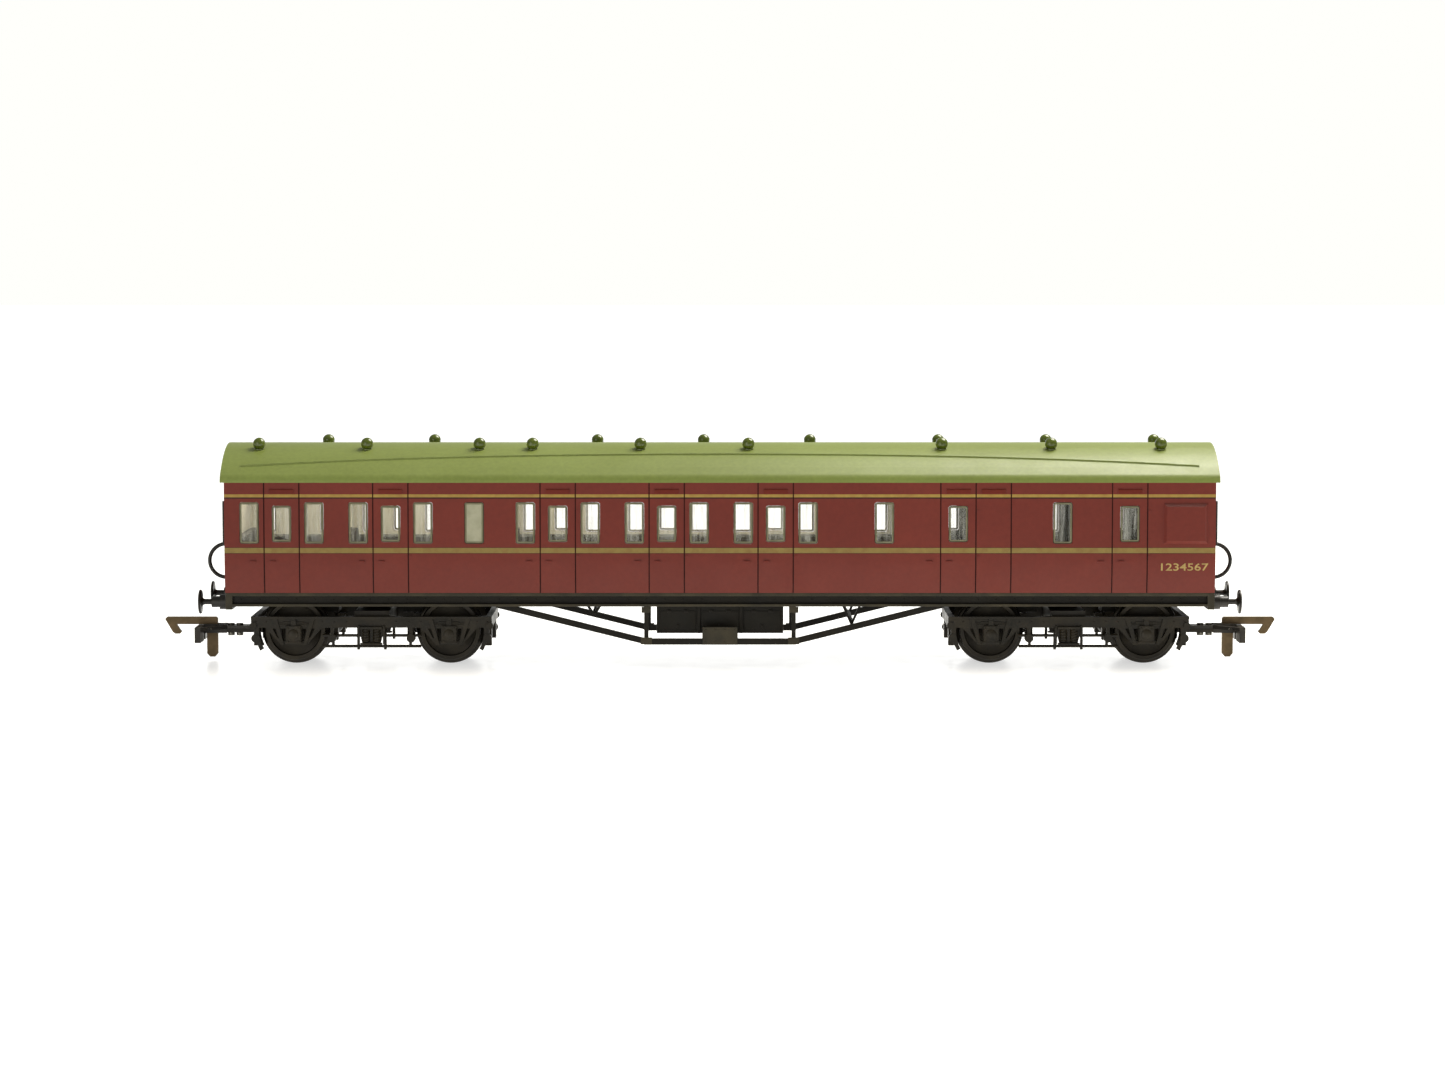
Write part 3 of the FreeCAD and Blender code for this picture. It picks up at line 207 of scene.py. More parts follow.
def overlay(tree: Tree, amount: object, under: object, over: object, kind: str = "MIX") -> Socket:
    """One colour laid over another by an amount."""
    sockets = {0: amount, 6: under, 7: over}
    return add_node(tree, "Mix", sockets, data_type="RGBA", blend_type=kind).outputs[2]


def axes_of(tree: Tree, vector: Socket) -> bpy.types.NodeOutputs:
    """The X, Y and Z of a vector."""
    return add_node(tree, "SeparateXYZ", {0: vector}).outputs


def facing(tree: Tree) -> bpy.types.NodeOutputs:
    """The X, Y and Z of the way a face looks."""
    return axes_of(tree, add_node(tree, "NewGeometry").outputs["Normal"])


@dataclass(frozen=True)
class Finish:
    """A moulded, painted or turned surface with mottled colour, uneven gloss and a fine grain.

    The grain stands for the tool's spark-eroded texture or the paint's orange peel, which
    is finer than the eye can part; it is drawn coarse enough to break up a highlight.
    """

    name: str
    base: str
    patch: str
    patch_size: float = 14.0
    gloss: tuple[float, float] = (0.38, 0.55)
    grain_size: float = 0.35
    grain_depth: float = 0.012
    metallic: float = 0.0
    ior: float = 1.5
    dust: float = 0.0
    dust_colour: str = "#7a735f"
    alpha: float = 1.0
    coat: float = 0.0
    sheen_level: float = 0.5
    glow: float = 0.0

    def colour(self, tree: Tree, place: Socket) -> Socket:
        """The base colour drifting into its patch colour across the piece."""
        cloud = noise(tree, place, self.patch_size, 4.0)
        stops = [(0.38, linear(self.base)), (0.66, linear(self.patch))]
        return add_node(tree, "ValToRGB", {"Fac": cloud}, stops).outputs["Color"]

    def build(self) -> bpy.types.Material:
        """Makes the material's node tree.

        Returns:
            The finished material.
        """
        material = bpy.data.materials.new(self.name)
        material.use_nodes = True
        tree = material.node_tree
        shader = tree.nodes["Principled BSDF"]
        place = add_node(tree, "TexCoord").outputs["Object"]
        colour = self.colour(tree, place)
        if self.dust:
            colour = self.dusted(tree, place, colour)
        tone = spread(tree, noise(tree, place, 0.9, 5.0), (0.25, 0.75), (0.92, 1.08))
        tree.links.new(overlay(tree, 1.0, colour, tone, "MULTIPLY"), shader.inputs["Base Color"])
        rough = spread(tree, noise(tree, place, 5.0, 3.0), (0.3, 0.7), self.gloss)
        tree.links.new(rough, shader.inputs["Roughness"])
        grain = noise(tree, place, self.grain_size, 2.0)
        bump = add_node(tree, "Bump", {"Height": grain, "Distance": self.grain_depth * MM, "Strength": 1.0})
        tree.links.new(bump.outputs["Normal"], shader.inputs["Normal"])
        plain = {
            "Metallic": self.metallic,
            "Alpha": self.alpha,
            "Coat Weight": self.coat,
            "Emission Strength": self.glow,
        }
        if not self.metallic:
            plain.update({"IOR": self.ior, "Specular IOR Level": self.sheen_level})
        for name, value in plain.items():
            shader.inputs[name].default_value = value
        return material

    def dusted(self, tree: Tree, place: Socket, colour: Socket) -> Socket:
        """Lays pale dust on faces that look up, thicker in patches.

        Args:
            tree: the material's node tree.
            place: the object coordinates.
            colour: the colour below the dust.

        Returns:
            The dusty colour.
        """
        settle = spread(tree, facing(tree)["Z"], (0.1, 1.0), (0.12, 1.0))
        amount = reckon(tree, "MULTIPLY", settle, noise(tree, place, 2.5, 6.0))
        return overlay(tree, reckon(tree, "MULTIPLY", amount, self.dust), colour, linear(self.dust_colour))


@dataclass(frozen=True)
class LinedEnamel(Finish):
    """Sprayed satin crimson with two pad-printed lines round the sides: gold over black."""

    floor_z: float = 17.3
    top_z: float = 42.8
    lower_line: tuple[float, float] = (26.55, 27.7)
    upper_line: tuple[float, float] = (39.35, 40.1)
    gold: str = "#a88a42"
    dull_gold: str = "#8d7a40"
    line_black: str = "#1d120b"
    edge_black: float = 0.28
    edge_below: float = 0.15
    edge_above: float = 0.12
    side_normal: float = 0.8

    def colour(self, tree: Tree, place: Socket) -> Socket:
        """The crimson, with the printed bands laid over it on the sides only."""
        height = spread(tree, axes_of(tree, place)["Z"], (self.floor_z * MM, self.top_z * MM))
        gold, dull, black = (linear(ink) for ink in (self.gold, self.dull_gold, self.line_black))
        clear = (0, 0, 0, 0)
        low, high = self.lower_line, self.upper_line
        bands = [
            (self.floor_z, clear),
            (low[0] - self.edge_below, black),
            (low[0], dull),
            (low[1], black),
            (low[1] + self.edge_above, clear),
            (high[0] - self.edge_black, black),
            (high[0], gold),
            (high[1], clear),
        ]
        stops = [((z - self.floor_z) / (self.top_z - self.floor_z), colour) for z, colour in bands]
        ramp = add_node(tree, "ValToRGB", {"Fac": height}, stops)
        ramp.color_ramp.interpolation = "CONSTANT"
        on_side = reckon(tree, "GREATER_THAN", reckon(tree, "ABSOLUTE", facing(tree)["Y"]), self.side_normal)
        cover = spread(tree, noise(tree, place, 1.6, 4.0), (0.3, 0.6), (0.72, 0.96))
        printed = reckon(tree, "MULTIPLY", ramp.outputs["Alpha"], reckon(tree, "MULTIPLY", on_side, cover))
        return overlay(tree, printed, Finish.colour(self, tree, place), ramp.outputs["Color"])


@dataclass(frozen=True)
class TwoToneMoulding(Finish):
    """Interior moulding: pale walls above the seat tops, darker below them, and dark at the luggage end as
    painted shade.
    """

    seat: str = "#2f2a1d"
    seat_top: float = 30.2
    dark_from: float = 50.0

    def colour(self, tree: Tree, place: Socket) -> Socket:
        """The wall colour above the seat backs in the compartments; the dark colour below them, and at the
        luggage end as painted shade.
        """
        axes = axes_of(tree, place)
        above = reckon(tree, "GREATER_THAN", axes["Z"], self.seat_top * MM)
        # Past this X the moulding is coloured dark: painted shade over the luggage end.
        before = reckon(tree, "LESS_THAN", axes["X"], self.dark_from * MM)
        pale = reckon(tree, "MULTIPLY", above, before)
        return overlay(tree, pale, linear(self.seat), Finish.colour(self, tree, place))


@dataclass(frozen=True)
class TurnedMetal(Finish):
    """Steel turned in a lathe: fine rings round the axle line that stretch the highlight."""

    ring_size: float = 0.16
    ring_depth: float = 0.01

    def build(self) -> bpy.types.Material:
        """Adds the lathe rings to the plain metal.

        Returns:
            The finished material.
        """
        material = Finish.build(self)
        tree = material.node_tree
        place = found(tree, "TexCoord", "Object")
        wave = {"Vector": place, "Scale": per_mm(self.ring_size) / 20, "Distortion": 1.5, "Detail": 2.0}
        rings = add_node(tree, "TexWave", wave, bands_direction="Y").outputs["Fac"]
        grain = found(tree, "Bump", "Normal")
        bump = {"Height": rings, "Distance": self.ring_depth * MM, "Strength": 0.6, "Normal": grain}
        turned = add_node(tree, "Bump", bump).outputs["Normal"]
        tree.links.new(turned, tree.nodes["Principled BSDF"].inputs["Normal"])
        return material


@dataclass(frozen=True)
class FlowMarkedPlastic(Finish):
    """Clear moulding with upright bands a little hazier than the rest: painted streaks of reflection."""

    mark_size: float = 1.1
    mark_length: float = 16.0
    haze: tuple[float, float] = (0.02, 0.34)

    def build(self) -> bpy.types.Material:
        """Adds the painted reflection streaks to the plain plastic.

        Returns:
            The finished material.
        """
        material = Finish.build(self)
        tree = material.node_tree
        place = found(tree, "TexCoord", "Object")
        stretch = (per_mm(self.mark_size), per_mm(self.mark_size), per_mm(self.mark_length))
        drawn = add_node(tree, "Mapping", {"Vector": place, "Scale": stretch})
        streaks = {"Vector": drawn.outputs[0], "Scale": 1.0, "Detail": 4.0, "Roughness": 0.6}
        marks = add_node(tree, "TexNoise", streaks)
        # The streaks make the pale plastic less clear in upright bands: painted reflection.
        haze = spread(tree, marks.outputs["Fac"], (0.42, 0.72), self.haze)
        tree.links.new(haze, tree.nodes["Principled BSDF"].inputs["Alpha"])
        return material


# Satin crimson enamel, sprayed on moulded polystyrene: a soft even sheen with slight orange peel.
CRIMSON = LinedEnamel(
    "satin_crimson_enamel", "#6c261b", "#742b1f", 26.0, (0.34, 0.44), 0.5, 0.004, sheen_level=0.3
)
# The same crimson, darkened in the moulded door lines as painted shade.
CRIMSON_GROOVE_SHADE = Finish("pooled_crimson_enamel", "#2e0e0b", "#381410", 6.0, (0.5, 0.65), sheen_level=0.15)
# Matt green enamel on the roof, polished a little by handling, with faint drifts.
ROOF_GREEN = Finish(
    "matt_green_roof_enamel", "#7a863e", "#828f46", 45.0, (0.38, 0.46), 0.5, 0.003, sheen_level=0.5
)
# The same green, darker, on the flanks of the raised rain strips: painted shade.
STRIP_SHADE_GREEN = Finish("dirtied_green_enamel", "#47522a", "#4f5b2c", 8.0, (0.55, 0.7), 0.4, 0.004, sheen_level=0.2)
# Darker olive gloss on the separate roof ventilators: a small bright spot on each ball.
VENT_OLIVE = Finish("gloss_olive_enamel", "#4d5a0e", "#5c6a16", 3.0, (0.14, 0.22), 0.3, 0.001, coat=0.3)
# Clear polystyrene glazing strip, gate-moulded: upright hazy streaks painted as reflections, and a hard
# reflection from its gloss.
GLAZING = FlowMarkedPlastic(
    "clear_polystyrene", "#f1f2e4", "#f7f7ee", 8.0, (0.03, 0.08), 2.0, 0.004, ior=1.59, sheen_level=0.35
)
# Frosted polystyrene in the lavatory window: milky, with the wall behind only hinted at.
FROSTED = Finish(
    "frosted_polystyrene", "#a3a286", "#b0ae93", 3.0, (0.5, 0.62), 0.25, 0.01, ior=1.59, alpha=0.93
)
# Tampo-printed silver on the raised edge of each pane: metallic flake with a dull olive cast.
WINDOW_SILVER = Finish("silver_tampo_print", "#6d6a52", "#7c785e", 2.0, (0.34, 0.46), 0.2, 0.004, metallic=0.45)
# Black rubbed into the step between a pane and its frame.
SEAL_BLACK = Finish("black_window_wash", "#26241a", "#312d20", 2.0, (0.5, 0.65), 0.2, 0.003, sheen_level=0.2)
# Gold transfer ink of the running number, slightly raised.
NUMBER_GOLD = Finish("gold_transfer_ink", "#a98e50", "#b79d5c", 2.0, (0.35, 0.45), metallic=0.15)
# Cream high-impact polystyrene of the compartment moulding, darker below the seat tops, with painted shade over
# the luggage end.
INTERIOR = TwoToneMoulding("cream_interior_moulding", "#e6dfc6", "#dcd4ba", 20.0, (0.5, 0.65))
# Bare inner wall of the body moulding, left in its own pale overspray, darker below the seat line, with painted
# shade over the luggage end.
INNER_WALL = TwoToneMoulding("oversprayed_inner_wall", "#c9c2aa", "#b8b097", 16.0, (0.55, 0.7), seat_top=28.2)
# Self-coloured black polystyrene of the underframe: satin, a little brown in strong light.
UNDERFRAME_BLACK = Finish(
    "black_underframe_moulding", "#14110a", "#1d190f", 9.0, (0.36, 0.5), 0.3, 0.008, dust=0.08,
    dust_colour="#5e553f", sheen_level=0.2
)
# The same black made lighter and browner along the flange edges and on the truss gussets: a painted highlight.
LIT_EDGE_BLACK = Finish(
    "rubbed_underframe_moulding", "#2d2819", "#3f3826", 5.0, (0.32, 0.45), 0.3, 0.006, sheen_level=0.3
)
# Black bogie moulding, matter and dustier than the floor above it.
BOGIE_BLACK = Finish(
    "black_bogie_moulding", "#1a160c", "#2a2315", 4.0, (0.34, 0.48), 0.28, 0.01, dust=0.2,
    dust_colour="#665b42", sheen_level=0.28
)
# Glossier black of the small separate fittings: buffers, pipes and rods.
FITTING_BLACK = Finish(
    "black_acetal_fitting", "#14110b", "#1d1911", 4.0, (0.26, 0.4), 0.25, 0.005, dust=0.06,
    dust_colour="#5e553f", sheen_level=0.4
)
# Chemically blacked steel wheels, turned, with the finish worn thin on the tread.
WHEEL_METAL = TurnedMetal(
    "blacked_turned_steel", "#211c13", "#2f291c", 4.0, (0.32, 0.44), 0.3, 0.004, metallic=0.5
)
# Bright turned steel of the axles.
AXLE_STEEL = TurnedMetal(
    "turned_axle_steel", "#8d8980", "#7c786e", 4.0, (0.24, 0.36), 0.3, 0.004, metallic=1.0
)
# Blued steel hook, gone bronze-brown from heat and handling.
HOOK_METAL = Finish("blued_spring_steel", "#54442a", "#6a573b", 3.0, (0.34, 0.5), 0.3, 0.01, metallic=0.5)
# Black-dipped steel of the coupling loop.
COUPLING_BLACK = Finish(
    "black_dipped_steel", "#1a1610", "#2a241a", 3.0, (0.32, 0.46), 0.3, 0.008, metallic=0.2, dust=0.1
)
# Zinc-plated screws, rivets and pins.
PLATED_STEEL = Finish("zinc_plated_steel", "#77746b", "#65625a", 2.0, (0.28, 0.42), 0.2, 0.006, metallic=0.9)
# Guillotined mild steel strip of the ballast weight: oily grey.
WEIGHT_STEEL = Finish("mild_steel_strip", "#6d6c68", "#5c5a55", 12.0, (0.38, 0.5), 0.4, 0.01, metallic=0.9)
# Opal acrylic table lit from below: it glows and mirrors the wheels very faintly.
LIT_TABLE = Finish(
    "lit_white_acrylic", "#f4f4ee", "#f7f7f2", 400.0, (0.2, 0.26), 1.5, 0.0, sheen_level=0.5, glow=0.6
)


@dataclass
class PaintShelf:
    """Keeps one built material for each finish."""

    pots: dict[str, bpy.types.Material] = field(default_factory=dict)

    def pot(self, finish: Finish) -> bpy.types.Material:
        """The material of this finish, made when it is first asked for."""
        if finish.name not in self.pots:
            self.pots[finish.name] = finish.build()
        return self.pots[finish.name]


shelf = PaintShelf()


# ---------------------------------------------------------------- mesh bench


def only(kind: type, geometry: Iterable) -> list:
    """The members of some geometry that are of one kind."""
    return [part for part in geometry if isinstance(part, kind)]


def box_of(points: Sequence[Vector]) -> Box:
    """The lowest and highest corners of some points."""
    low, high = ([pick(point[i] for point in points) for i in range(3)] for pick in (min, max))
    return Vector(low), Vector(high)


@dataclass
class Workpiece:
    """One mesh on the bench, drawn in millimetres until it is finished."""

    bm: bmesh.types.BMesh = field(default_factory=bmesh.new)

    @classmethod
    def from_node(cls, node: str, soften: float = 0.0, segments: int = 2) -> "Workpiece":
        """Copies a CAD node, joins its triangles and rounds its edges.

        Args:
            node: the CAD node.
            soften: how far each edge is rounded back, or 0 to leave it keen.
            segments: steps across the rounding.

        Returns:
            The copy, in millimetres.
        """
        piece = cls()
        bm = piece.bm
        bm.from_mesh(frame["nodes"][node].data)
        bmesh.ops.scale(bm, vec=(1 / MM,) * 3, verts=bm.verts)
        bmesh.ops.remove_doubles(bm, verts=bm.verts, dist=COPY_WELD)
        bmesh.ops.dissolve_limit(bm, angle_limit=math.radians(FLAT_ANGLE), verts=bm.verts, edges=bm.edges)
        if soften:
            piece.soften(bm.edges, soften, segments)
        return piece

    def rounded(self, geometry: Sequence, width: float, segments: int, affect: str, clamp: bool) -> dict:
        """Rounds edges or corners.

        Args:
            geometry: the edges or corners.
            width: how far the rounding reaches.
            segments: steps across it.
            affect: EDGES or VERTICES.
            clamp: whether it stops short of its neighbours.

        Returns:
            What the rounding made.
        """
        return bmesh.ops.bevel(
            self.bm,
            geom=geometry,
            offset=width,
            offset_type="OFFSET",
            segments=segments,
            profile=0.5,
            affect=affect,
            clamp_overlap=clamp,
            material=-1,
        )

    def soften(self, edges: Iterable[bmesh.types.BMEdge], width: float, segments: int = 2) -> None:
        """Rounds those of the edges that are sharp.

        Args:
            edges: the edges to look through.
            width: how far the rounding reaches.
            segments: steps across it.
        """
        least = math.radians(SOFTENED_ANGLE)
        keen = [e for e in edges if len(e.link_faces) == 2 and e.calc_face_angle(0.0) > least]
        self.rounded(keen, width, segments, "EDGES", True)

    def grown(self, rim: Sequence[bmesh.types.BMEdge]) -> tuple[list, list]:
        """Draws a band of faces out of an open rim.

        Args:
            rim: the edges of the rim.

        Returns:
            The new rim's corners and edges, still in the old place.
        """
        made = bmesh.ops.extrude_edge_only(self.bm, edges=rim)["geom"]
        return only(bmesh.types.BMVert, made), only(bmesh.types.BMEdge, made)

    def capped(self) -> None:
        """Closes every open rim."""
        open_edges = [e for e in self.bm.edges if e.is_boundary]
        bmesh.ops.holes_fill(self.bm, edges=open_edges, sides=0)

    def block(self, low: Sequence[float], high: Sequence[float], soften: float = 0.0, segments: int = 2) -> None:
        """Adds a block between two corners.

        Args:
            low: its lowest corner.
            high: its highest corner.
            soften: how far its edges are rounded back.
            segments: steps across the rounding.
        """
        verts = bmesh.ops.create_cube(self.bm, size=1.0)["verts"]
        span = Vector(high) - Vector(low)
        bmesh.ops.scale(self.bm, vec=span, verts=verts)
        bmesh.ops.translate(self.bm, vec=(Vector(low) + Vector(high)) / 2, verts=verts)
        if soften:
            self.soften({e for v in verts for e in v.link_edges}, soften, segments)

    def turned(
        self, profile: Sequence[tuple], centre: Sequence[float], axis: Sequence[float], steps: int = 40
    ) -> None:
        """Turns a profile about an axis, as in a lathe.

        Args:
            profile: radius and distance along the axis of each point.
            centre: where the distances start.
            axis: the way they grow.
            steps: facets round the turn.
        """
        line = Vector(axis).normalized()
        out = line.orthogonal().normalized()
        start = Vector(centre)
        verts = [self.bm.verts.new(start + out * radius + line * along) for radius, along in profile]
        edges = [self.bm.edges.new(pair) for pair in zip(verts, verts[1:])]
        bmesh.ops.spin(
            self.bm, geom=verts + edges, cent=start, axis=line, angle=math.tau, steps=steps, use_merge=True
        )

    def rivet(self, centre: Sequence[float], axis: Sequence[float], radius: float, rise: float) -> None:
        """Adds a small domed rivet head that stands on a face."""
        dome = [(radius, -0.05), (radius, rise * 0.35), (radius * 0.72, rise * 0.8), (0.0, rise)]
        self.turned(dome, centre, axis, steps=8)

    def coil(self, centre: Sequence[float], radius: float, wire: float, height: float, turns: int) -> None:
        """Winds a coil spring upwards from a centre.

        Args:
            centre: the middle of its foot.
            radius: from its axis to the middle of the wire.
            wire: the wire's radius.
            height: the rise of all its turns.
            turns: how many.
        """
        ring = bmesh.ops.create_circle(self.bm, cap_ends=False, radius=wire, segments=8)["verts"]
        bmesh.ops.rotate(self.bm, cent=(0, 0, 0), matrix=UPRIGHT, verts=ring)
        bmesh.ops.translate(self.bm, vec=Vector(centre) + Vector((radius, 0, 0)), verts=ring)
        edges = list({e for v in ring for e in v.link_edges})
        steps = 20 * turns
        bmesh.ops.spin(
            self.bm,
            geom=ring + edges,
            cent=centre,
            axis=(0, 0, 1),
            angle=math.tau * turns,
            steps=steps,
            dvec=(0, 0, height / steps),
        )
        self.capped()

    def mirrored_y(self) -> None:
        """Adds the other side's copy of everything, across the middle of the coach."""
        everything = [*self.bm.verts, *self.bm.edges, *self.bm.faces]
        made = bmesh.ops.duplicate(self.bm, geom=everything)["geom"]
        bmesh.ops.scale(self.bm, vec=(1, -1, 1), verts=only(bmesh.types.BMVert, made))

    def finished(
        self,
        name: str,
        finishes: Sequence[Finish],
        body: str,
        slot: Slot,
        replaces: Sequence[str] = (),
        outward: bool = True,
    ) -> bpy.types.Object:
        """Cleans the mesh, gives it its finish and hangs it on its CAD body.

        Args:
            name: the piece's name.
            finishes: one for each material number of its faces.
            body: the CAD body it rides on.
            slot: the record's material slot; not used.
            replaces: the CAD nodes it stands for.
            outward: whether its normals are worked out again.

        Returns:
            The finished object.
        """
        bm = self.bm
        bmesh.ops.remove_doubles(bm, verts=bm.verts, dist=LAST_WELD)
        if outward:
            bmesh.ops.recalc_face_normals(bm, faces=bm.faces)
        for face in bm.faces:
            face.smooth = True
        for edge in bm.edges:
            if len(edge.link_faces) == 2 and edge.calc_face_angle(0.0) > math.radians(KEEN_ANGLE):
                edge.smooth = False
        bmesh.ops.scale(bm, vec=(MM,) * 3, verts=bm.verts)
        mesh = bpy.data.meshes.new(name)
        bm.to_mesh(mesh)
        bm.free()
        for finish in finishes:
            mesh.materials.append(shelf.pot(finish))
        piece = bpy.data.objects.new(name, mesh)
        bpy.context.scene.collection.objects.link(piece)
        even = piece.modifiers.new("even_shading", "WEIGHTED_NORMAL")
        even.keep_sharp = True
        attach(piece, body)
        if replaces:
            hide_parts(*replaces)
        log.info("%s: %d faces", name, len(mesh.polygons))
        return piece


def body_of(node: str) -> str:
    """The CAD body that a node belongs to."""
    bodies = frame["record"]["behaviour"]["bodies"]
    return next(body for body, members in bodies.items() if node in members)


def carried(node: str, name: str, finish: Finish, slot: Slot, soften: float = 0.08) -> bpy.types.Object:
    """Carries a CAD node over as a piece with rounded edges.

    Args:
        node: the CAD node, whose place and size are kept.
        name: the piece's name.
        finish: its finish.
        slot: the record's material slot.
        soften: how far its edges are rounded back.

    Returns:
        The piece.
    """
    return Workpiece.from_node(node, soften).finished(name, [finish], body_of(node), slot, [node])


def islands(node: str) -> list[Box]:
    """The box of each separate solid in a CAD node, in millimetres.

    Args:
        node: the CAD node.

    Returns:
        Lowest and highest corners, in order along X.
    """
    piece = Workpiece.from_node(node)
    waiting = set(piece.bm.verts)
    boxes = []
    while waiting:
        front = [waiting.pop()]
        group = list(front)
        while front:
            vert = front.pop()
            fresh = {edge.other_vert(vert) for edge in vert.link_edges} & waiting
            waiting -= fresh
            front += fresh
            group += fresh
        boxes.append(box_of([vert.co for vert in group]))
    piece.bm.free()
    return sorted(boxes, key=lambda pair: (round(pair[0].x, 2), pair[0].y))


def panes(node: str, side: Side) -> list[Box]:
    """The raised window faces of a glazing strip, in millimetres.

    Args:
        node: the CAD node of the strip.
        side: the way its panes look.

    Returns:
        Lowest and highest corners of each pane's face.
    """
    piece = Workpiece.from_node(node)
    face_y = max(v.co.y * side.value for v in piece.bm.verts) * side.value
    boxes = [
        box_of([v.co for v in face.verts])
        for face in piece.bm.faces
        if all(abs(v.co.y - face_y) < ON_PLANE for v in face.verts)
    ]
    piece.bm.free()
    merged: list[Box] = []
    for low, high in sorted(boxes, key=lambda pair: pair[0].x):
        if merged and low.x < merged[-1][1].x + PANE_GAP:
            low, high = box_of([low, high, *merged.pop()])
        merged.append((low, high))
    return merged


# ---------------------------------------------------------------- body and roof


@dataclass
class BodyWork:
    """The painted body: moulded sides and ends, window frames and running numbers."""

    half_width: float = 18.5
    inner_half_width: float = 16.9
    inner_half_length: float = 112.4
    tangent_z: float = 26.5
    turn_radius: float = 60.81
    compartment_doors: tuple[float, ...] = (-100.8, -75.75, -37.3, -12.25, 12.8)
    luggage_doors: tuple[float, ...] = (54.8, 62.9, 94.25)
    door_width: float = 8.1
    groove_half: float = 0.145
    groove_face: float = 0.2
    frame_width: float = 0.26
    frame_rise: float = 0.1
    seal_width: float = 0.12
    lip_width: float = 0.1
    off_pane: float = 0.004
    corner: float = 0.6
    corner_steps: int = 5
    number: str = "1234567"
    number_centre: tuple[float, float] = (106.6, 23.25)
    number_height: float = 1.7
    number_width: float = 10.9
    number_lift: float = 0.015

    def side_y(self, z: float) -> float:
        """How far out the side stands at a height, with its turn-under."""
        drop = max(0.0, self.tangent_z - z)
        return self.half_width - (self.turn_radius - math.sqrt(self.turn_radius**2 - drop**2))

    def door_edges(self) -> list[float]:
        """X of each moulded door line."""
        half = self.door_width / 2
        return [door + sign * half for door in self.compartment_doors + self.luggage_doors for sign in (-1, 1)]

    def shell(self) -> None:
        """Carries the body moulding over, with painted shade in its door lines and its inner walls picked out."""
        piece = Workpiece.from_node("body_shell", 0.07)
        lines = self.door_edges()
        for face in piece.bm.faces:
            middle = face.calc_center_median()
            if abs(middle.y) < self.inner_half_width + 0.05 and abs(middle.x) < self.inner_half_length + 0.05:
                face.material_index = 2
            elif (
                abs(middle.y) > self.inner_half_width + 0.1
                and any(abs(middle.x - x) < self.groove_half for x in lines)
                and max(abs(v.co.x - middle.x) for v in face.verts) < self.groove_face
            ):
                # Faces in the door-line grooves take the darker crimson: painted shade.
                face.material_index = 1
        piece.finished(
            "painted_body", [CRIMSON, CRIMSON_GROOVE_SHADE, INNER_WALL], "coach", Slot.BODY, ["body_shell"], outward=False
        )

    def window_frames(self, side: Side) -> None:
        """Makes the silvered bevelled edge round each pane of one side."""
        piece = Workpiece()
        for low, high in panes(f"{side.word}_glazing", side) + panes("lavatory_panes", side):
            verts = bmesh.ops.create_grid(piece.bm, x_segments=1, y_segments=1, size=0.5)["verts"]
            bmesh.ops.scale(piece.bm, vec=(high.x - low.x, high.z - low.z, 1), verts=verts)
            bmesh.ops.rotate(piece.bm, cent=(0, 0, 0), matrix=UPRIGHT, verts=verts)
            face_y = side.value * (abs(low.y) + self.off_pane)
            middle = ((low.x + high.x) / 2, face_y, (low.z + high.z) / 2)
            bmesh.ops.translate(piece.bm, vec=middle, verts=verts)
            corners = piece.rounded(verts, self.corner, self.corner_steps, "VERTICES", False)["verts"]
            pane = max({f for v in corners for f in v.link_faces}, key=lambda f: f.calc_area())
            bands = []
            for width in (self.seal_width, self.frame_width, self.lip_width):
                bands.append(bmesh.ops.inset_individual(piece.bm, faces=[pane], thickness=width)["faces"])
            for face in bands[0]:
                face.material_index = 1
            bmesh.ops.delete(piece.bm, geom=[pane], context="FACES_ONLY")
            raised = bmesh.ops.extrude_face_region(piece.bm, geom=sum(bands, []))["geom"]
            top = only(bmesh.types.BMVert, raised)
            bmesh.ops.translate(piece.bm, vec=(0, side.value * self.frame_rise, 0), verts=top)
        piece.finished(f"{side.word}_window_frames", [WINDOW_SILVER, SEAL_BLACK], "coach", Slot.CLEAR)

    def running_number(self, side: Side) -> None:
        """Lays the running number on the side, near the guard's end."""
        curve = bpy.data.curves.new("number_curve", "FONT")
        curve.body = self.number
        curve.align_x = "CENTER"
        curve.align_y = "CENTER"
        curve.extrude = 0.02
        curve.offset = 0.008
        curve.resolution_u = 3
        drawn = bpy.data.objects.new("number_curve", curve)
        piece = Workpiece()
        piece.bm.from_mesh(bpy.data.meshes.new_from_object(drawn))
        bpy.data.objects.remove(drawn)
        verts = list(piece.bm.verts)
        low, high = box_of([v.co for v in verts])
        scale = (self.number_width / (high.x - low.x), self.number_height / (high.y - low.y), 1.0)
        bmesh.ops.scale(piece.bm, vec=scale, verts=verts)
        turn = UPRIGHT
        if side is Side.FAR:
            turn = Matrix.Rotation(math.pi, 3, "Z") @ turn
        bmesh.ops.rotate(piece.bm, cent=(0, 0, 0), matrix=turn, verts=verts)
        x, z = self.number_centre
        for vert in verts:
            vert.co.x += x
            vert.co.z += z
            vert.co.y += side.value * (self.side_y(vert.co.z) + self.number_lift)
        piece.finished(f"{side.word}_running_number", [NUMBER_GOLD], "coach", Slot.BODY)

    def build(self) -> None:
        """Makes every body piece."""
        self.shell()
        for side in Side:
            carried(f"{side.word}_glazing", f"{side.word}_window_strip", GLAZING, Slot.CLEAR, 0.0)
        carried("lavatory_panes", "frosted_windows", FROSTED, Slot.FROSTED, 0.0)
        carried("interior_unit", "compartment_moulding", INTERIOR, Slot.INTERIOR, 0.15)
        carried("end_rods", "corner_rods", FITTING_BLACK, Slot.FITTING, 0.06)
        for side in Side:
            self.window_frames(side)
            self.running_number(side)


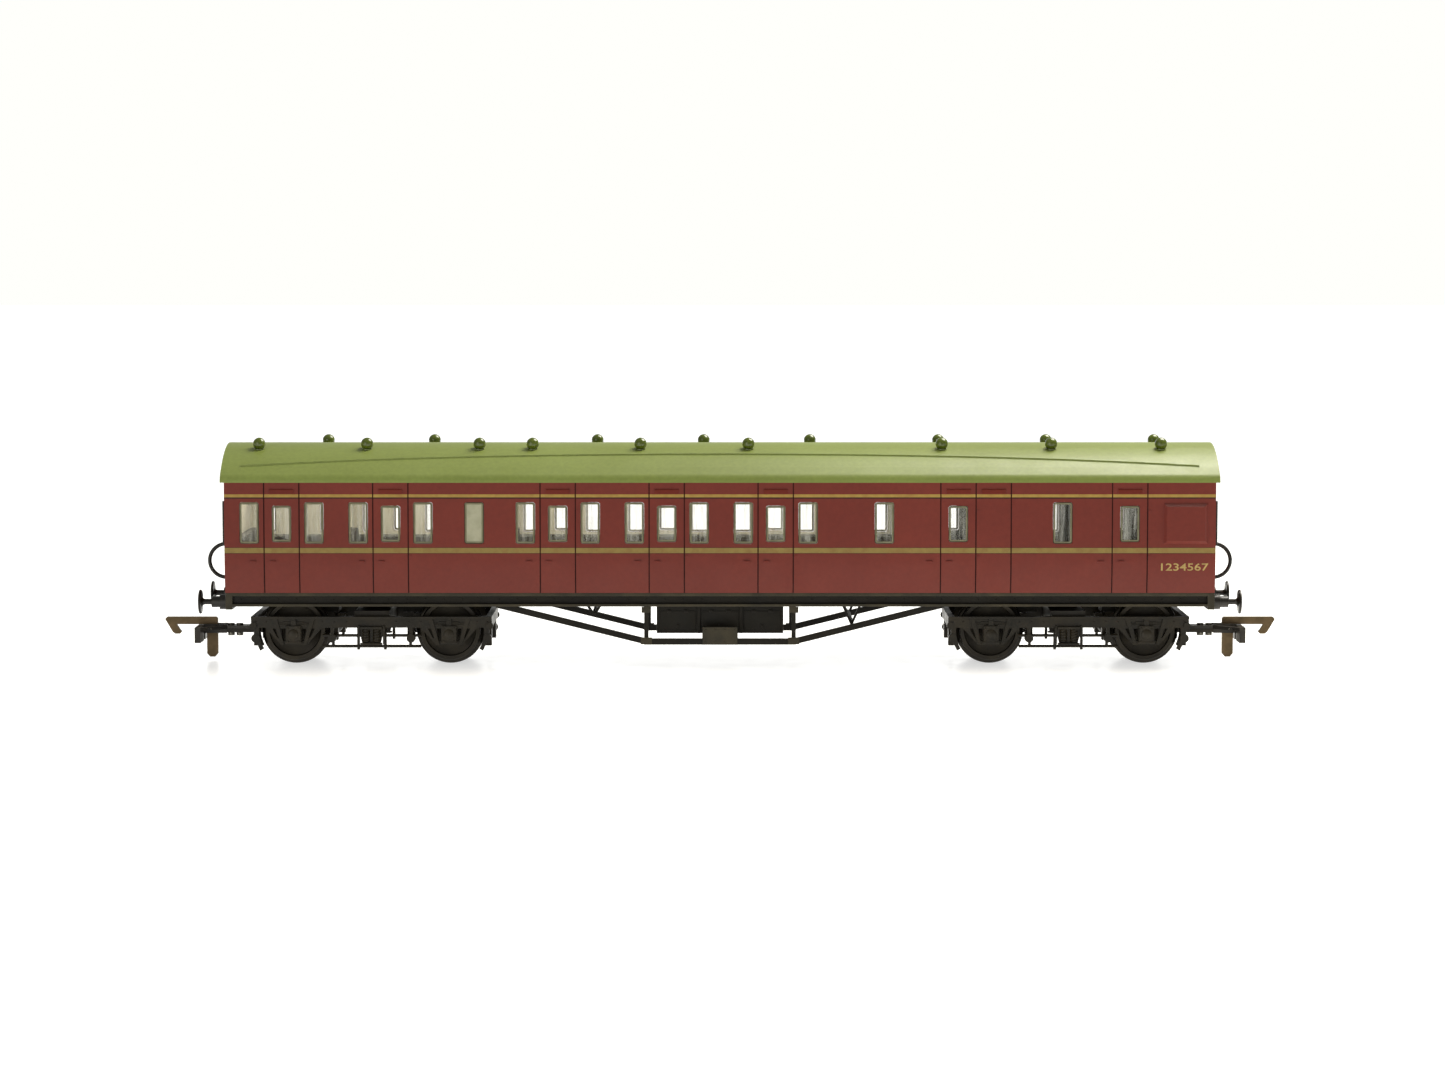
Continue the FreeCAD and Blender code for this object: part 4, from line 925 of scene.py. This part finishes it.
@dataclass
class Roof:
    """The green roof moulding and its turned ventilators."""

    ball: float = 1.45
    neck: float = 0.8
    flange: float = 1.2
    pin: float = 0.5
    flank_normal: float = 0.15

    def vents(self) -> None:
        """Turns each ventilator: pin, flange, neck, and a ball with a seam."""
        piece = Workpiece()
        for low, high in islands("roof_vents"):
            x, y = (low.x + high.x) / 2, (low.y + high.y) / 2
            centre = high.z - self.ball
            profile = [(0.0, low.z - centre), (self.pin, low.z - centre)]
            profile += [(self.pin, -self.ball * 0.98), (self.flange, -self.ball * 0.98)]
            profile += [(self.flange, -self.ball * 0.8), (self.neck, -self.ball * 0.72), (self.neck, -1.15)]
            for degrees in range(-50, 90, 10):
                angle = math.radians(degrees)
                radius = self.ball - (0.05 if degrees == 0 else 0.0)
                profile.append((radius * math.cos(angle), radius * math.sin(angle)))
            profile.append((0.0, self.ball))
            piece.turned(profile, (x, y, centre), (0, 0, 1), steps=28)
        piece.finished("roof_ventilators", [VENT_OLIVE], "coach", Slot.VENT, ["roof_vents"])

    def moulding(self) -> None:
        """Carries the roof over, with painted shade on the flanks of its rain strips."""
        piece = Workpiece.from_node("roof", 0.06)
        for face in piece.bm.faces:
            normal = face.normal
            outward = normal.y * face.calc_center_median().y > 0
            leaning = min(abs(normal.y), abs(normal.z)) > self.flank_normal
            if leaning and outward != (normal.z > 0) and (outward or normal.z >= 0):
                # The rain-strip flanks take the darker green: painted shade.
                face.material_index = 1
        piece.finished("roof_moulding", [ROOF_GREEN, STRIP_SHADE_GREEN], "coach", Slot.ROOF, ["roof"])

    def build(self) -> None:
        """Makes the roof pieces."""
        self.moulding()
        self.vents()


# ---------------------------------------------------------------- underframe


@dataclass
class Underframe:
    """Floor, solebars, trusses, battery box, brake shafts, buffers and end pipes."""

    truss_face: float = 16.8
    solebar_web: float = 16.3
    rivets: int = 26
    rivet_pitch: float = 4.25
    rivet_z: float = 15.7
    flange_edge: float = 17.35
    post_x: float = 17.0
    buffer_y: float = 11.4
    buffer_z: float = 14.7
    headstock_x: float = 114.0
    head_radius: float = 2.8
    shank_radius: float = 0.65
    projection: float = 7.0
    travel: float = 1.0
    foot: float = 0.6
    hoop_radius: float = 3.9
    pipe_radius: float = 0.45
    pipe_straight: float = 0.7
    hoop_y: float = -9.0
    hoop_z: float = 24.1

    def floor(self) -> None:
        """Carries the floor and solebars over, with a painted highlight on the flange edges."""
        piece = Workpiece.from_node("underframe", 0.08)
        for face in piece.bm.faces:
            if abs(face.calc_center_median().y) > self.flange_edge:
                # The flange edges take the lighter black: a painted highlight.
                face.material_index = 1
        finishes = [UNDERFRAME_BLACK, LIT_EDGE_BLACK]
        piece.finished("floor_and_solebars", finishes, "coach", Slot.UNDERFRAME, ["underframe"])

    def solebar_rivets(self) -> None:
        """Sets rows of rivets along the solebar webs and the headstocks."""
        piece = Workpiece()
        for index in range(-self.rivets, self.rivets + 1):
            piece.rivet((index * self.rivet_pitch, -self.solebar_web, self.rivet_z), (0, -1, 0), 0.18, 0.14)
        for end in End:
            for y in (-16.0, -7.4, -4.0):
                piece.rivet((end.value * self.headstock_x, y, 15.9), (end.value, 0, 0), 0.2, 0.15)
        piece.mirrored_y()
        piece.finished("solebar_rivets", [UNDERFRAME_BLACK], "coach", Slot.UNDERFRAME)

    def truss_plates(self) -> None:
        """Makes the gusset plates and bolt heads of both trusses."""
        piece = Workpiece()
        face = -self.truss_face
        for sign in (-1, 1):
            x = sign * self.post_x
            piece.block((x - 1.3, face - 0.16, 5.3), (x + 1.3, face + 0.1, 6.9), 0.05, 1)
            piece.block((x - 1.1, face - 0.16, 12.6), (x + 1.1, face + 0.1, 14.0), 0.05, 1)
            for dx, z in ((-0.8, 5.8), (0.8, 5.8), (0.0, 6.5), (-0.6, 13.4), (0.6, 13.4)):
                piece.rivet((x + dx, face - 0.16, z), (0, -1, 0), 0.17, 0.14)
        piece.block((-4.0, face - 0.3, 5.35), (4.0, face - 0.1, 9.3), 0.05, 1)
        for x in (-3.3, -1.1, 1.1, 3.3):
            for z in (5.9, 8.7):
                piece.rivet((x, face - 0.3, z), (0, -1, 0), 0.2, 0.16)
        piece.mirrored_y()
        # The gussets take the lighter black: a painted highlight.
        piece.finished("truss_gussets", [LIT_EDGE_BLACK], "coach", Slot.UNDERFRAME)

    def battery_lids(self) -> None:
        """Adds the lids, hinges and catches to the battery box."""
        low, high = (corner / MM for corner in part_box("battery_box"))
        piece = Workpiece()
        face = low.y + 0.4
        third = (high.x - low.x) / 3
        for index in range(3):
            left = low.x + index * third
            piece.block((left + 0.7, face - 0.22, low.z + 0.7), (left + third - 0.7, face + 0.1, 12.6), 0.08)
            for x in (left + third * 0.3, left + third * 0.7):
                piece.block((x - 0.5, face - 0.34, 12.2), (x + 0.5, face, 12.9), 0.06)
            middle = left + third / 2
            piece.block((middle - 0.35, face - 0.42, low.z + 1.2), (middle + 0.35, face, low.z + 2.2), 0.08)
        piece.mirrored_y()
        piece.finished("battery_lids", [UNDERFRAME_BLACK], "coach", Slot.UNDERFRAME)

    def buffer_heads(self) -> None:
        """Turns the four sliding heads, each domed with a rounded rim."""
        for end in End:
            for side in Side:
                tip = self.headstock_x + self.projection
                back = self.headstock_x + self.travel + 0.5
                rim, shank = self.head_radius, self.shank_radius
                profile = [(0.0, tip), (rim * 0.45, tip - 0.03), (rim * 0.8, tip - 0.11), (rim * 0.95, tip - 0.2)]
                profile += [(rim, tip - 0.34), (rim, tip - 0.6), (rim * 0.93, tip - 0.78)]
                profile += [(shank + 0.55, tip - 0.82), (shank + 0.12, tip - 1.15), (shank, tip - 1.5)]
                profile += [(shank, back), (0.0, back)]
                piece = Workpiece()
                centre = (0.0, side.value * self.buffer_y, self.buffer_z)
                piece.turned(profile, centre, (end.value, 0, 0), 48)
                name = f"{end.word}_{side.word}_buffer_head"
                piece.finished(f"{name}_turned", [FITTING_BLACK], name, Slot.FITTING, [name])

    def buffer_bodies(self) -> None:
        """Makes the four stepped buffer bodies, bored for the shanks, with bolted feet."""
        piece = Workpiece.from_node("buffer_housings", 0.1)
        for end in End:
            face = end.value * (self.headstock_x + self.foot)
            for dy, dz in ((-1.6, -0.9), (1.6, -0.9), (-1.6, 1.7), (1.6, 1.7)):
                for y in (-self.buffer_y, self.buffer_y):
                    piece.rivet((face, y + dy, self.buffer_z + dz), (end.value, 0, 0), 0.22, 0.18)
        piece.finished("buffer_bodies", [FITTING_BLACK], "coach", Slot.FITTING, ["buffer_housings"])

    def end_pipe(self, end: End) -> None:
        """Bends the hooped pipe of one end and fits its two sockets."""
        piece = Workpiece()
        wall = end.value * self.headstock_x
        verts = bmesh.ops.create_circle(piece.bm, cap_ends=True, radius=self.pipe_radius, segments=16)["verts"]
        bmesh.ops.rotate(piece.bm, cent=(0, 0, 0), matrix=Matrix.Rotation(math.pi / 2, 3, "Y"), verts=verts)
        top = Vector((wall, self.hoop_y, self.hoop_z + self.hoop_radius))
        bmesh.ops.translate(piece.bm, vec=top, verts=verts)
        straight = Vector((end.value * self.pipe_straight, 0, 0))
        verts, rim = piece.grown(list({e for v in verts for e in v.link_edges}))
        bmesh.ops.translate(piece.bm, vec=straight, verts=verts)
        bent = bmesh.ops.spin(
            piece.bm,
            geom=verts + rim,
            cent=(wall + straight.x, self.hoop_y, self.hoop_z),
            axis=(0, end.value, 0),
            angle=math.pi,
            steps=32,
        )["geom_last"]
        verts, rim = piece.grown(only(bmesh.types.BMEdge, bent))
        bmesh.ops.translate(piece.bm, vec=-straight, verts=verts)
        for sign in (-1, 1):
            centre = (wall, self.hoop_y, self.hoop_z + sign * self.hoop_radius)
            socket = [(0.0, 0.0), (0.75, 0.0), (0.75, 0.25), (0.53, 0.35), (0.53, 0.6), (0.0, 0.6)]
            piece.turned(socket, centre, (end.value, 0, 0), 20)
        piece.capped()
        name, node = f"{end.word}_hooped_pipe", f"{end.word}_end_pipe"
        piece.finished(name, [FITTING_BLACK], "coach", Slot.FITTING, [node])

    def build(self) -> None:
        """Makes every underframe piece."""
        self.floor()
        carried("steel_weight", "ballast_strip", WEIGHT_STEEL, Slot.WEIGHT, 0.1)
        for side in Side:
            carried(f"{side.word}_truss", f"{side.word}_angle_truss", UNDERFRAME_BLACK, Slot.UNDERFRAME, 0.1)
        carried("battery_box", "battery_case", UNDERFRAME_BLACK, Slot.UNDERFRAME, 0.12)
        carried("brake_hangers", "brake_shaft_hangers", UNDERFRAME_BLACK, Slot.UNDERFRAME, 0.08)
        self.solebar_rivets()
        self.truss_plates()
        self.battery_lids()
        self.buffer_heads()
        self.buffer_bodies()
        for end in End:
            carried(f"{end.word}_pivot_screw", f"{end.word}_bogie_screw", PLATED_STEEL, Slot.SCREW, 0.08)
            self.end_pipe(end)


# ---------------------------------------------------------------- bogies


@dataclass
class Wheelset:
    """One turned axle with two turned wheels, in the bogie of one end."""

    end: End
    place: str
    x: float
    tread: float = 7.05
    flange: float = 7.95
    centre_z: float = 7.95
    back: float = 7.25
    width: float = 2.8
    axle_radius: float = 1.0
    axle_half: float = 13.0
    point: float = 1.5
    tip_radius: float = 0.12

    def wheel_profile(self) -> list[tuple[float, float]]:
        """Radius and distance out of the wheel's outline, from the bore at the back."""
        bore, tread, flange, width = self.axle_radius, self.tread, self.flange, self.width
        hub = [(bore, 0.0), (1.9, 0.0), (2.1, 0.12), (2.35, 1.0), (3.1, 1.12), (4.9, 0.95), (5.6, 0.75)]
        back = [(tread - 1.1, 0.1), (tread - 0.9, 0.0), (flange - 0.32, 0.0), (flange - 0.1, 0.1)]
        rim = [(flange, 0.3), (flange - 0.04, 0.48), (flange - 0.3, 0.68)]
        rim += [(tread + 0.16, 0.8), (tread + 0.04, 0.98)]
        face = [(tread, width - 0.18), (tread - 0.16, width), (tread - 1.0, width), (tread - 1.12, width - 0.12)]
        dish = [(tread - 1.2, 2.15), (5.0, 1.95), (3.2, 1.85), (2.4, 2.0), (2.15, width - 0.1), (1.95, width)]
        return hub + back + rim + face + dish + [(bore, width), (bore, 0.0)]

    def build(self) -> None:
        """Turns the wheels and the axle of this wheelset."""
        prefix = f"{self.end.word}_{self.place}"
        wheels = Workpiece()
        wheels.turned(self.wheel_profile(), (self.x, self.back, self.centre_z), (0, 1, 0), 72)
        wheels.mirrored_y()
        body = f"{prefix}_wheelset"
        wheels.finished(f"{prefix}_turned_wheels", [WHEEL_METAL], body, Slot.WHEEL, [f"{prefix}_wheels"])
        axle = Workpiece()
        straight = self.axle_half - self.point
        half = [(self.axle_radius, straight), (self.tip_radius, self.axle_half), (0.0, self.axle_half)]
        profile = [(radius, -along) for radius, along in reversed(half)] + half
        axle.turned(profile, (self.x, 0.0, self.centre_z), (0, 1, 0), 32)
        axle.finished(f"{prefix}_turned_axle", [AXLE_STEEL], body, Slot.AXLE, [f"{prefix}_axle"])


@dataclass
class Bogie:
    """One four-wheeled bogie with its brakes and coupling."""

    end: End
    centre_x: float = 80.75
    half_base: float = 18.0
    wheel_z: float = 7.95
    frame_outer: float = 13.4
    box_outer: float = 14.5
    bar_bottom: float = 8.8

    def x(self, along: float) -> float:
        """The coach's X of a distance from the bogie centre towards the coach end."""
        return self.end.value * (self.centre_x + along)

    def span(self, piece: Workpiece, along: float, half: float, y: tuple, z: tuple, soften: float = 0.06) -> None:
        """Adds a block centred at a distance along the bogie.

        Args:
            piece: the mesh on the bench.
            along: from the bogie centre towards the coach end.
            half: half its length.
            y: its two sides.
            z: its bottom and top.
            soften: how far its edges are rounded back.
        """
        low = min(self.x(along - half), self.x(along + half))
        piece.block((low, y[0], z[0]), (low + 2 * half, y[1], z[1]), soften, 2)

    def side_details(self) -> None:
        """Adds axlebox covers, tie bolts, spring leaves, coil springs and frame rivets."""
        piece = Workpiece()
        out = -self.frame_outer
        for axle in (-self.half_base, self.half_base):
            x = self.x(axle)
            box = -self.box_outer
            cover = [(0.0, 0.3), (0.55, 0.3), (0.8, 0.22), (1.05, 0.18), (1.2, 0.05), (1.2, -0.1)]
            piece.turned(cover, (x, box, self.wheel_z - 0.6), (0, -1, 0), 24)
            for dx, dz in ((-1.25, -2.2), (1.25, -2.2), (-1.25, 0.8), (1.25, 0.8)):
                piece.rivet((x + dx, box, self.wheel_z + dz), (0, -1, 0), 0.2, 0.16)
            self.span(piece, axle, 1.9, (box - 0.08, box + 0.3), (self.wheel_z - 2.75, self.wheel_z - 2.3))
            for step in range(3):
                half = 4.6 - 1.1 * step
                top = self.bar_bottom + 0.8 + 0.3 * step
                self.span(piece, axle, half, (out - 0.3, out + 0.1), (top - 0.26, top), 0.05)
            self.span(piece, axle, 0.6, (out - 0.55, out + 0.1), (self.bar_bottom + 0.2, self.bar_bottom + 1.8))
        for along in (-26.8, -24.4, -11.4, -8.6, -5.8, 5.8, 8.6, 11.4, 24.4, 26.8):
            piece.rivet((self.x(along), out, self.bar_bottom + 1.4), (0, -1, 0), 0.2, 0.16)
        for along in (-1.25, 1.25):
            piece.coil((self.x(along), out - 0.15, 5.35), 0.72, 0.2, 3.1, 5)
        self.span(piece, 0.0, 2.5, (out - 1.1, out + 0.1), (4.9, 5.3))
        self.span(piece, 0.0, 2.6, (out - 1.1, out + 0.1), (8.5, 9.1))
        for along in (-2.9, 2.9):
            self.span(piece, along, 0.22, (out - 0.6, out + 0.05), (5.0, 9.3), 0.05)
        piece.mirrored_y()
        name = f"{self.end.word}_bogie_springs"
        piece.finished(name, [BOGIE_BLACK], f"{self.end.word}_bogie", Slot.BOGIE)

    def build(self) -> None:
        """Makes the bogie and everything that hangs from it."""
        word = self.end.word
        for node, name, finish, slot, soften in (
            ("bogie_frame", "bogie_moulding", BOGIE_BLACK, Slot.BOGIE, 0.1),
            ("brake_rigging", "brake_gear", BOGIE_BLACK, Slot.BOGIE, 0.07),
            ("coupling_loop", "bumper_loop", COUPLING_BLACK, Slot.COUPLING, 0.12),
            ("coupling_rivets", "loop_rivets", PLATED_STEEL, Slot.PIN, 0.1),
            ("coupling_pin", "hook_pin", PLATED_STEEL, Slot.PIN, 0.06),
            ("coupling_hook", "drop_hook", HOOK_METAL, Slot.HOOK, 0.2),
        ):
            carried(f"{word}_{node}", f"{word}_{name}", finish, slot, soften)
        self.side_details()
        for place, along in (("inner", -self.half_base), ("outer", self.half_base)):
            Wheelset(self.end, place, self.x(along)).build()


# ---------------------------------------------------------------- studio


@dataclass
class Studio:
    """A lit white table, soft lights and the camera.

    The focal length, the view's width and its centre line are in one unit of their own.
    """

    distance: float = 919.0
    height: float = 100.0
    tilt: float = 4.5
    focal_length: float = 3928.0
    view_width: float = 1445.0
    view_centre: float = 720.0
    table: float = 9.0
    horizon: float = 0.2
    ceiling: float = 0.4
    far_wall: float = 1.0
    wall_edge: tuple[float, float] = (0.55, 0.85)
    band_edge: tuple[float, float] = (0.38, 0.18)

    def table_top(self) -> None:
        """Lays the table top, far wider than the view."""
        piece = Workpiece()
        bmesh.ops.create_grid(piece.bm, x_segments=8, y_segments=8, size=self.table / 2)
        mesh = bpy.data.meshes.new("card_floor")
        piece.bm.to_mesh(mesh)
        piece.bm.free()
        mesh.materials.append(shelf.pot(LIT_TABLE))
        floor = bpy.data.objects.new("card_floor", mesh)
        bpy.context.scene.collection.objects.link(floor)

    def light(
        self, name: str, place: Sequence[float], aim: Sequence[float], size: tuple, power: float
    ) -> bpy.types.Object:
        """Hangs one soft box.

        Args:
            name: the light's name.
            place: where it hangs, in metres.
            aim: the point it faces.
            size: its width and height.
            power: in watts.

        Returns:
            The light.
        """
        lamp = bpy.data.lights.new(name, "AREA")
        lamp.shape = "RECTANGLE"
        lamp.size, lamp.size_y = size
        lamp.energy = power
        lamp.color = linear("#fffaf0")[:3]
        box = bpy.data.objects.new(name, lamp)
        box.location = place
        box.rotation_euler = (Vector(aim) - Vector(place)).to_track_quat("-Z", "Y").to_euler()
        bpy.context.scene.collection.objects.link(box)
        return box

    def sky(self) -> None:
        """Fills the room with pale light, brighter low down behind the coach, and white to the camera."""
        world = bpy.data.worlds.new("pale_room")
        world.use_nodes = True
        tree = world.node_tree
        aim = add_node(tree, "TexCoord").outputs["Generated"]
        way = axes_of(tree, aim)
        room = spread(tree, way["Z"], (0.0, 1.0), (self.horizon, self.ceiling))
        wall = spread(tree, way["Y"], self.wall_edge, (0.0, self.far_wall))
        band = reckon(tree, "MULTIPLY", wall, spread(tree, way["Z"], self.band_edge))
        light = reckon(tree, "MAXIMUM", room, band)
        seen = add_node(tree, "LightPath").outputs["Is Camera Ray"]
        strength = add_node(tree, "Mix", {0: seen, 2: light, 3: 1.0})
        back = tree.nodes["Background"]
        back.inputs["Color"].default_value = linear("#fffffb")
        tree.links.new(strength.outputs[0], back.inputs["Strength"])
        bpy.context.scene.world = world

    def camera(self) -> None:
        """Stands the camera square to the side and a little above the roof."""
        lens = bpy.data.cameras.new("studio_camera")
        lens.sensor_width = 36.0
        lens.lens = self.focal_length * lens.sensor_width / self.view_width
        lens.shift_x = (self.view_width / 2 - self.view_centre) / self.view_width
        lens.clip_end = 50.0
        stand = bpy.data.objects.new("studio_camera", lens)
        stand.location = (0.0, -self.distance * MM, self.height * MM)
        stand.rotation_euler = (math.radians(90 - self.tilt), 0.0, 0.0)
        bpy.context.scene.collection.objects.link(stand)
        bpy.context.scene.camera = stand

    def build(self) -> None:
        """Sets up the whole studio."""
        bpy.context.scene.view_settings.view_transform = "Standard"
        self.table_top()
        self.sky()
        self.light("key_box", (0.22, 0.11, 0.44), (0.03, 0.0, 0.04), (0.3, 0.3), 3.4)
        self.light("front_card", (-0.8, -1.2, 0.25), (-0.05, 0.0, 0.03), (0.8, 0.5), 2.0)
        middle = -0.037
        lamp = self.light("compartment_lamp", (middle, 0.0, 0.0405), (middle, 0.0, 0.0), (0.15, 0.02), 0.03)
        lamp.visible_camera = False
        self.camera()


def main() -> None:
    """Builds every piece of the coach, then the studio."""
    logging.basicConfig(level=logging.INFO, format="%(message)s")
    BodyWork().build()
    Roof().build()
    Underframe().build()
    for end in End:
        Bogie(end).build()
    Studio().build()


if __name__ == "__main__":
    main()
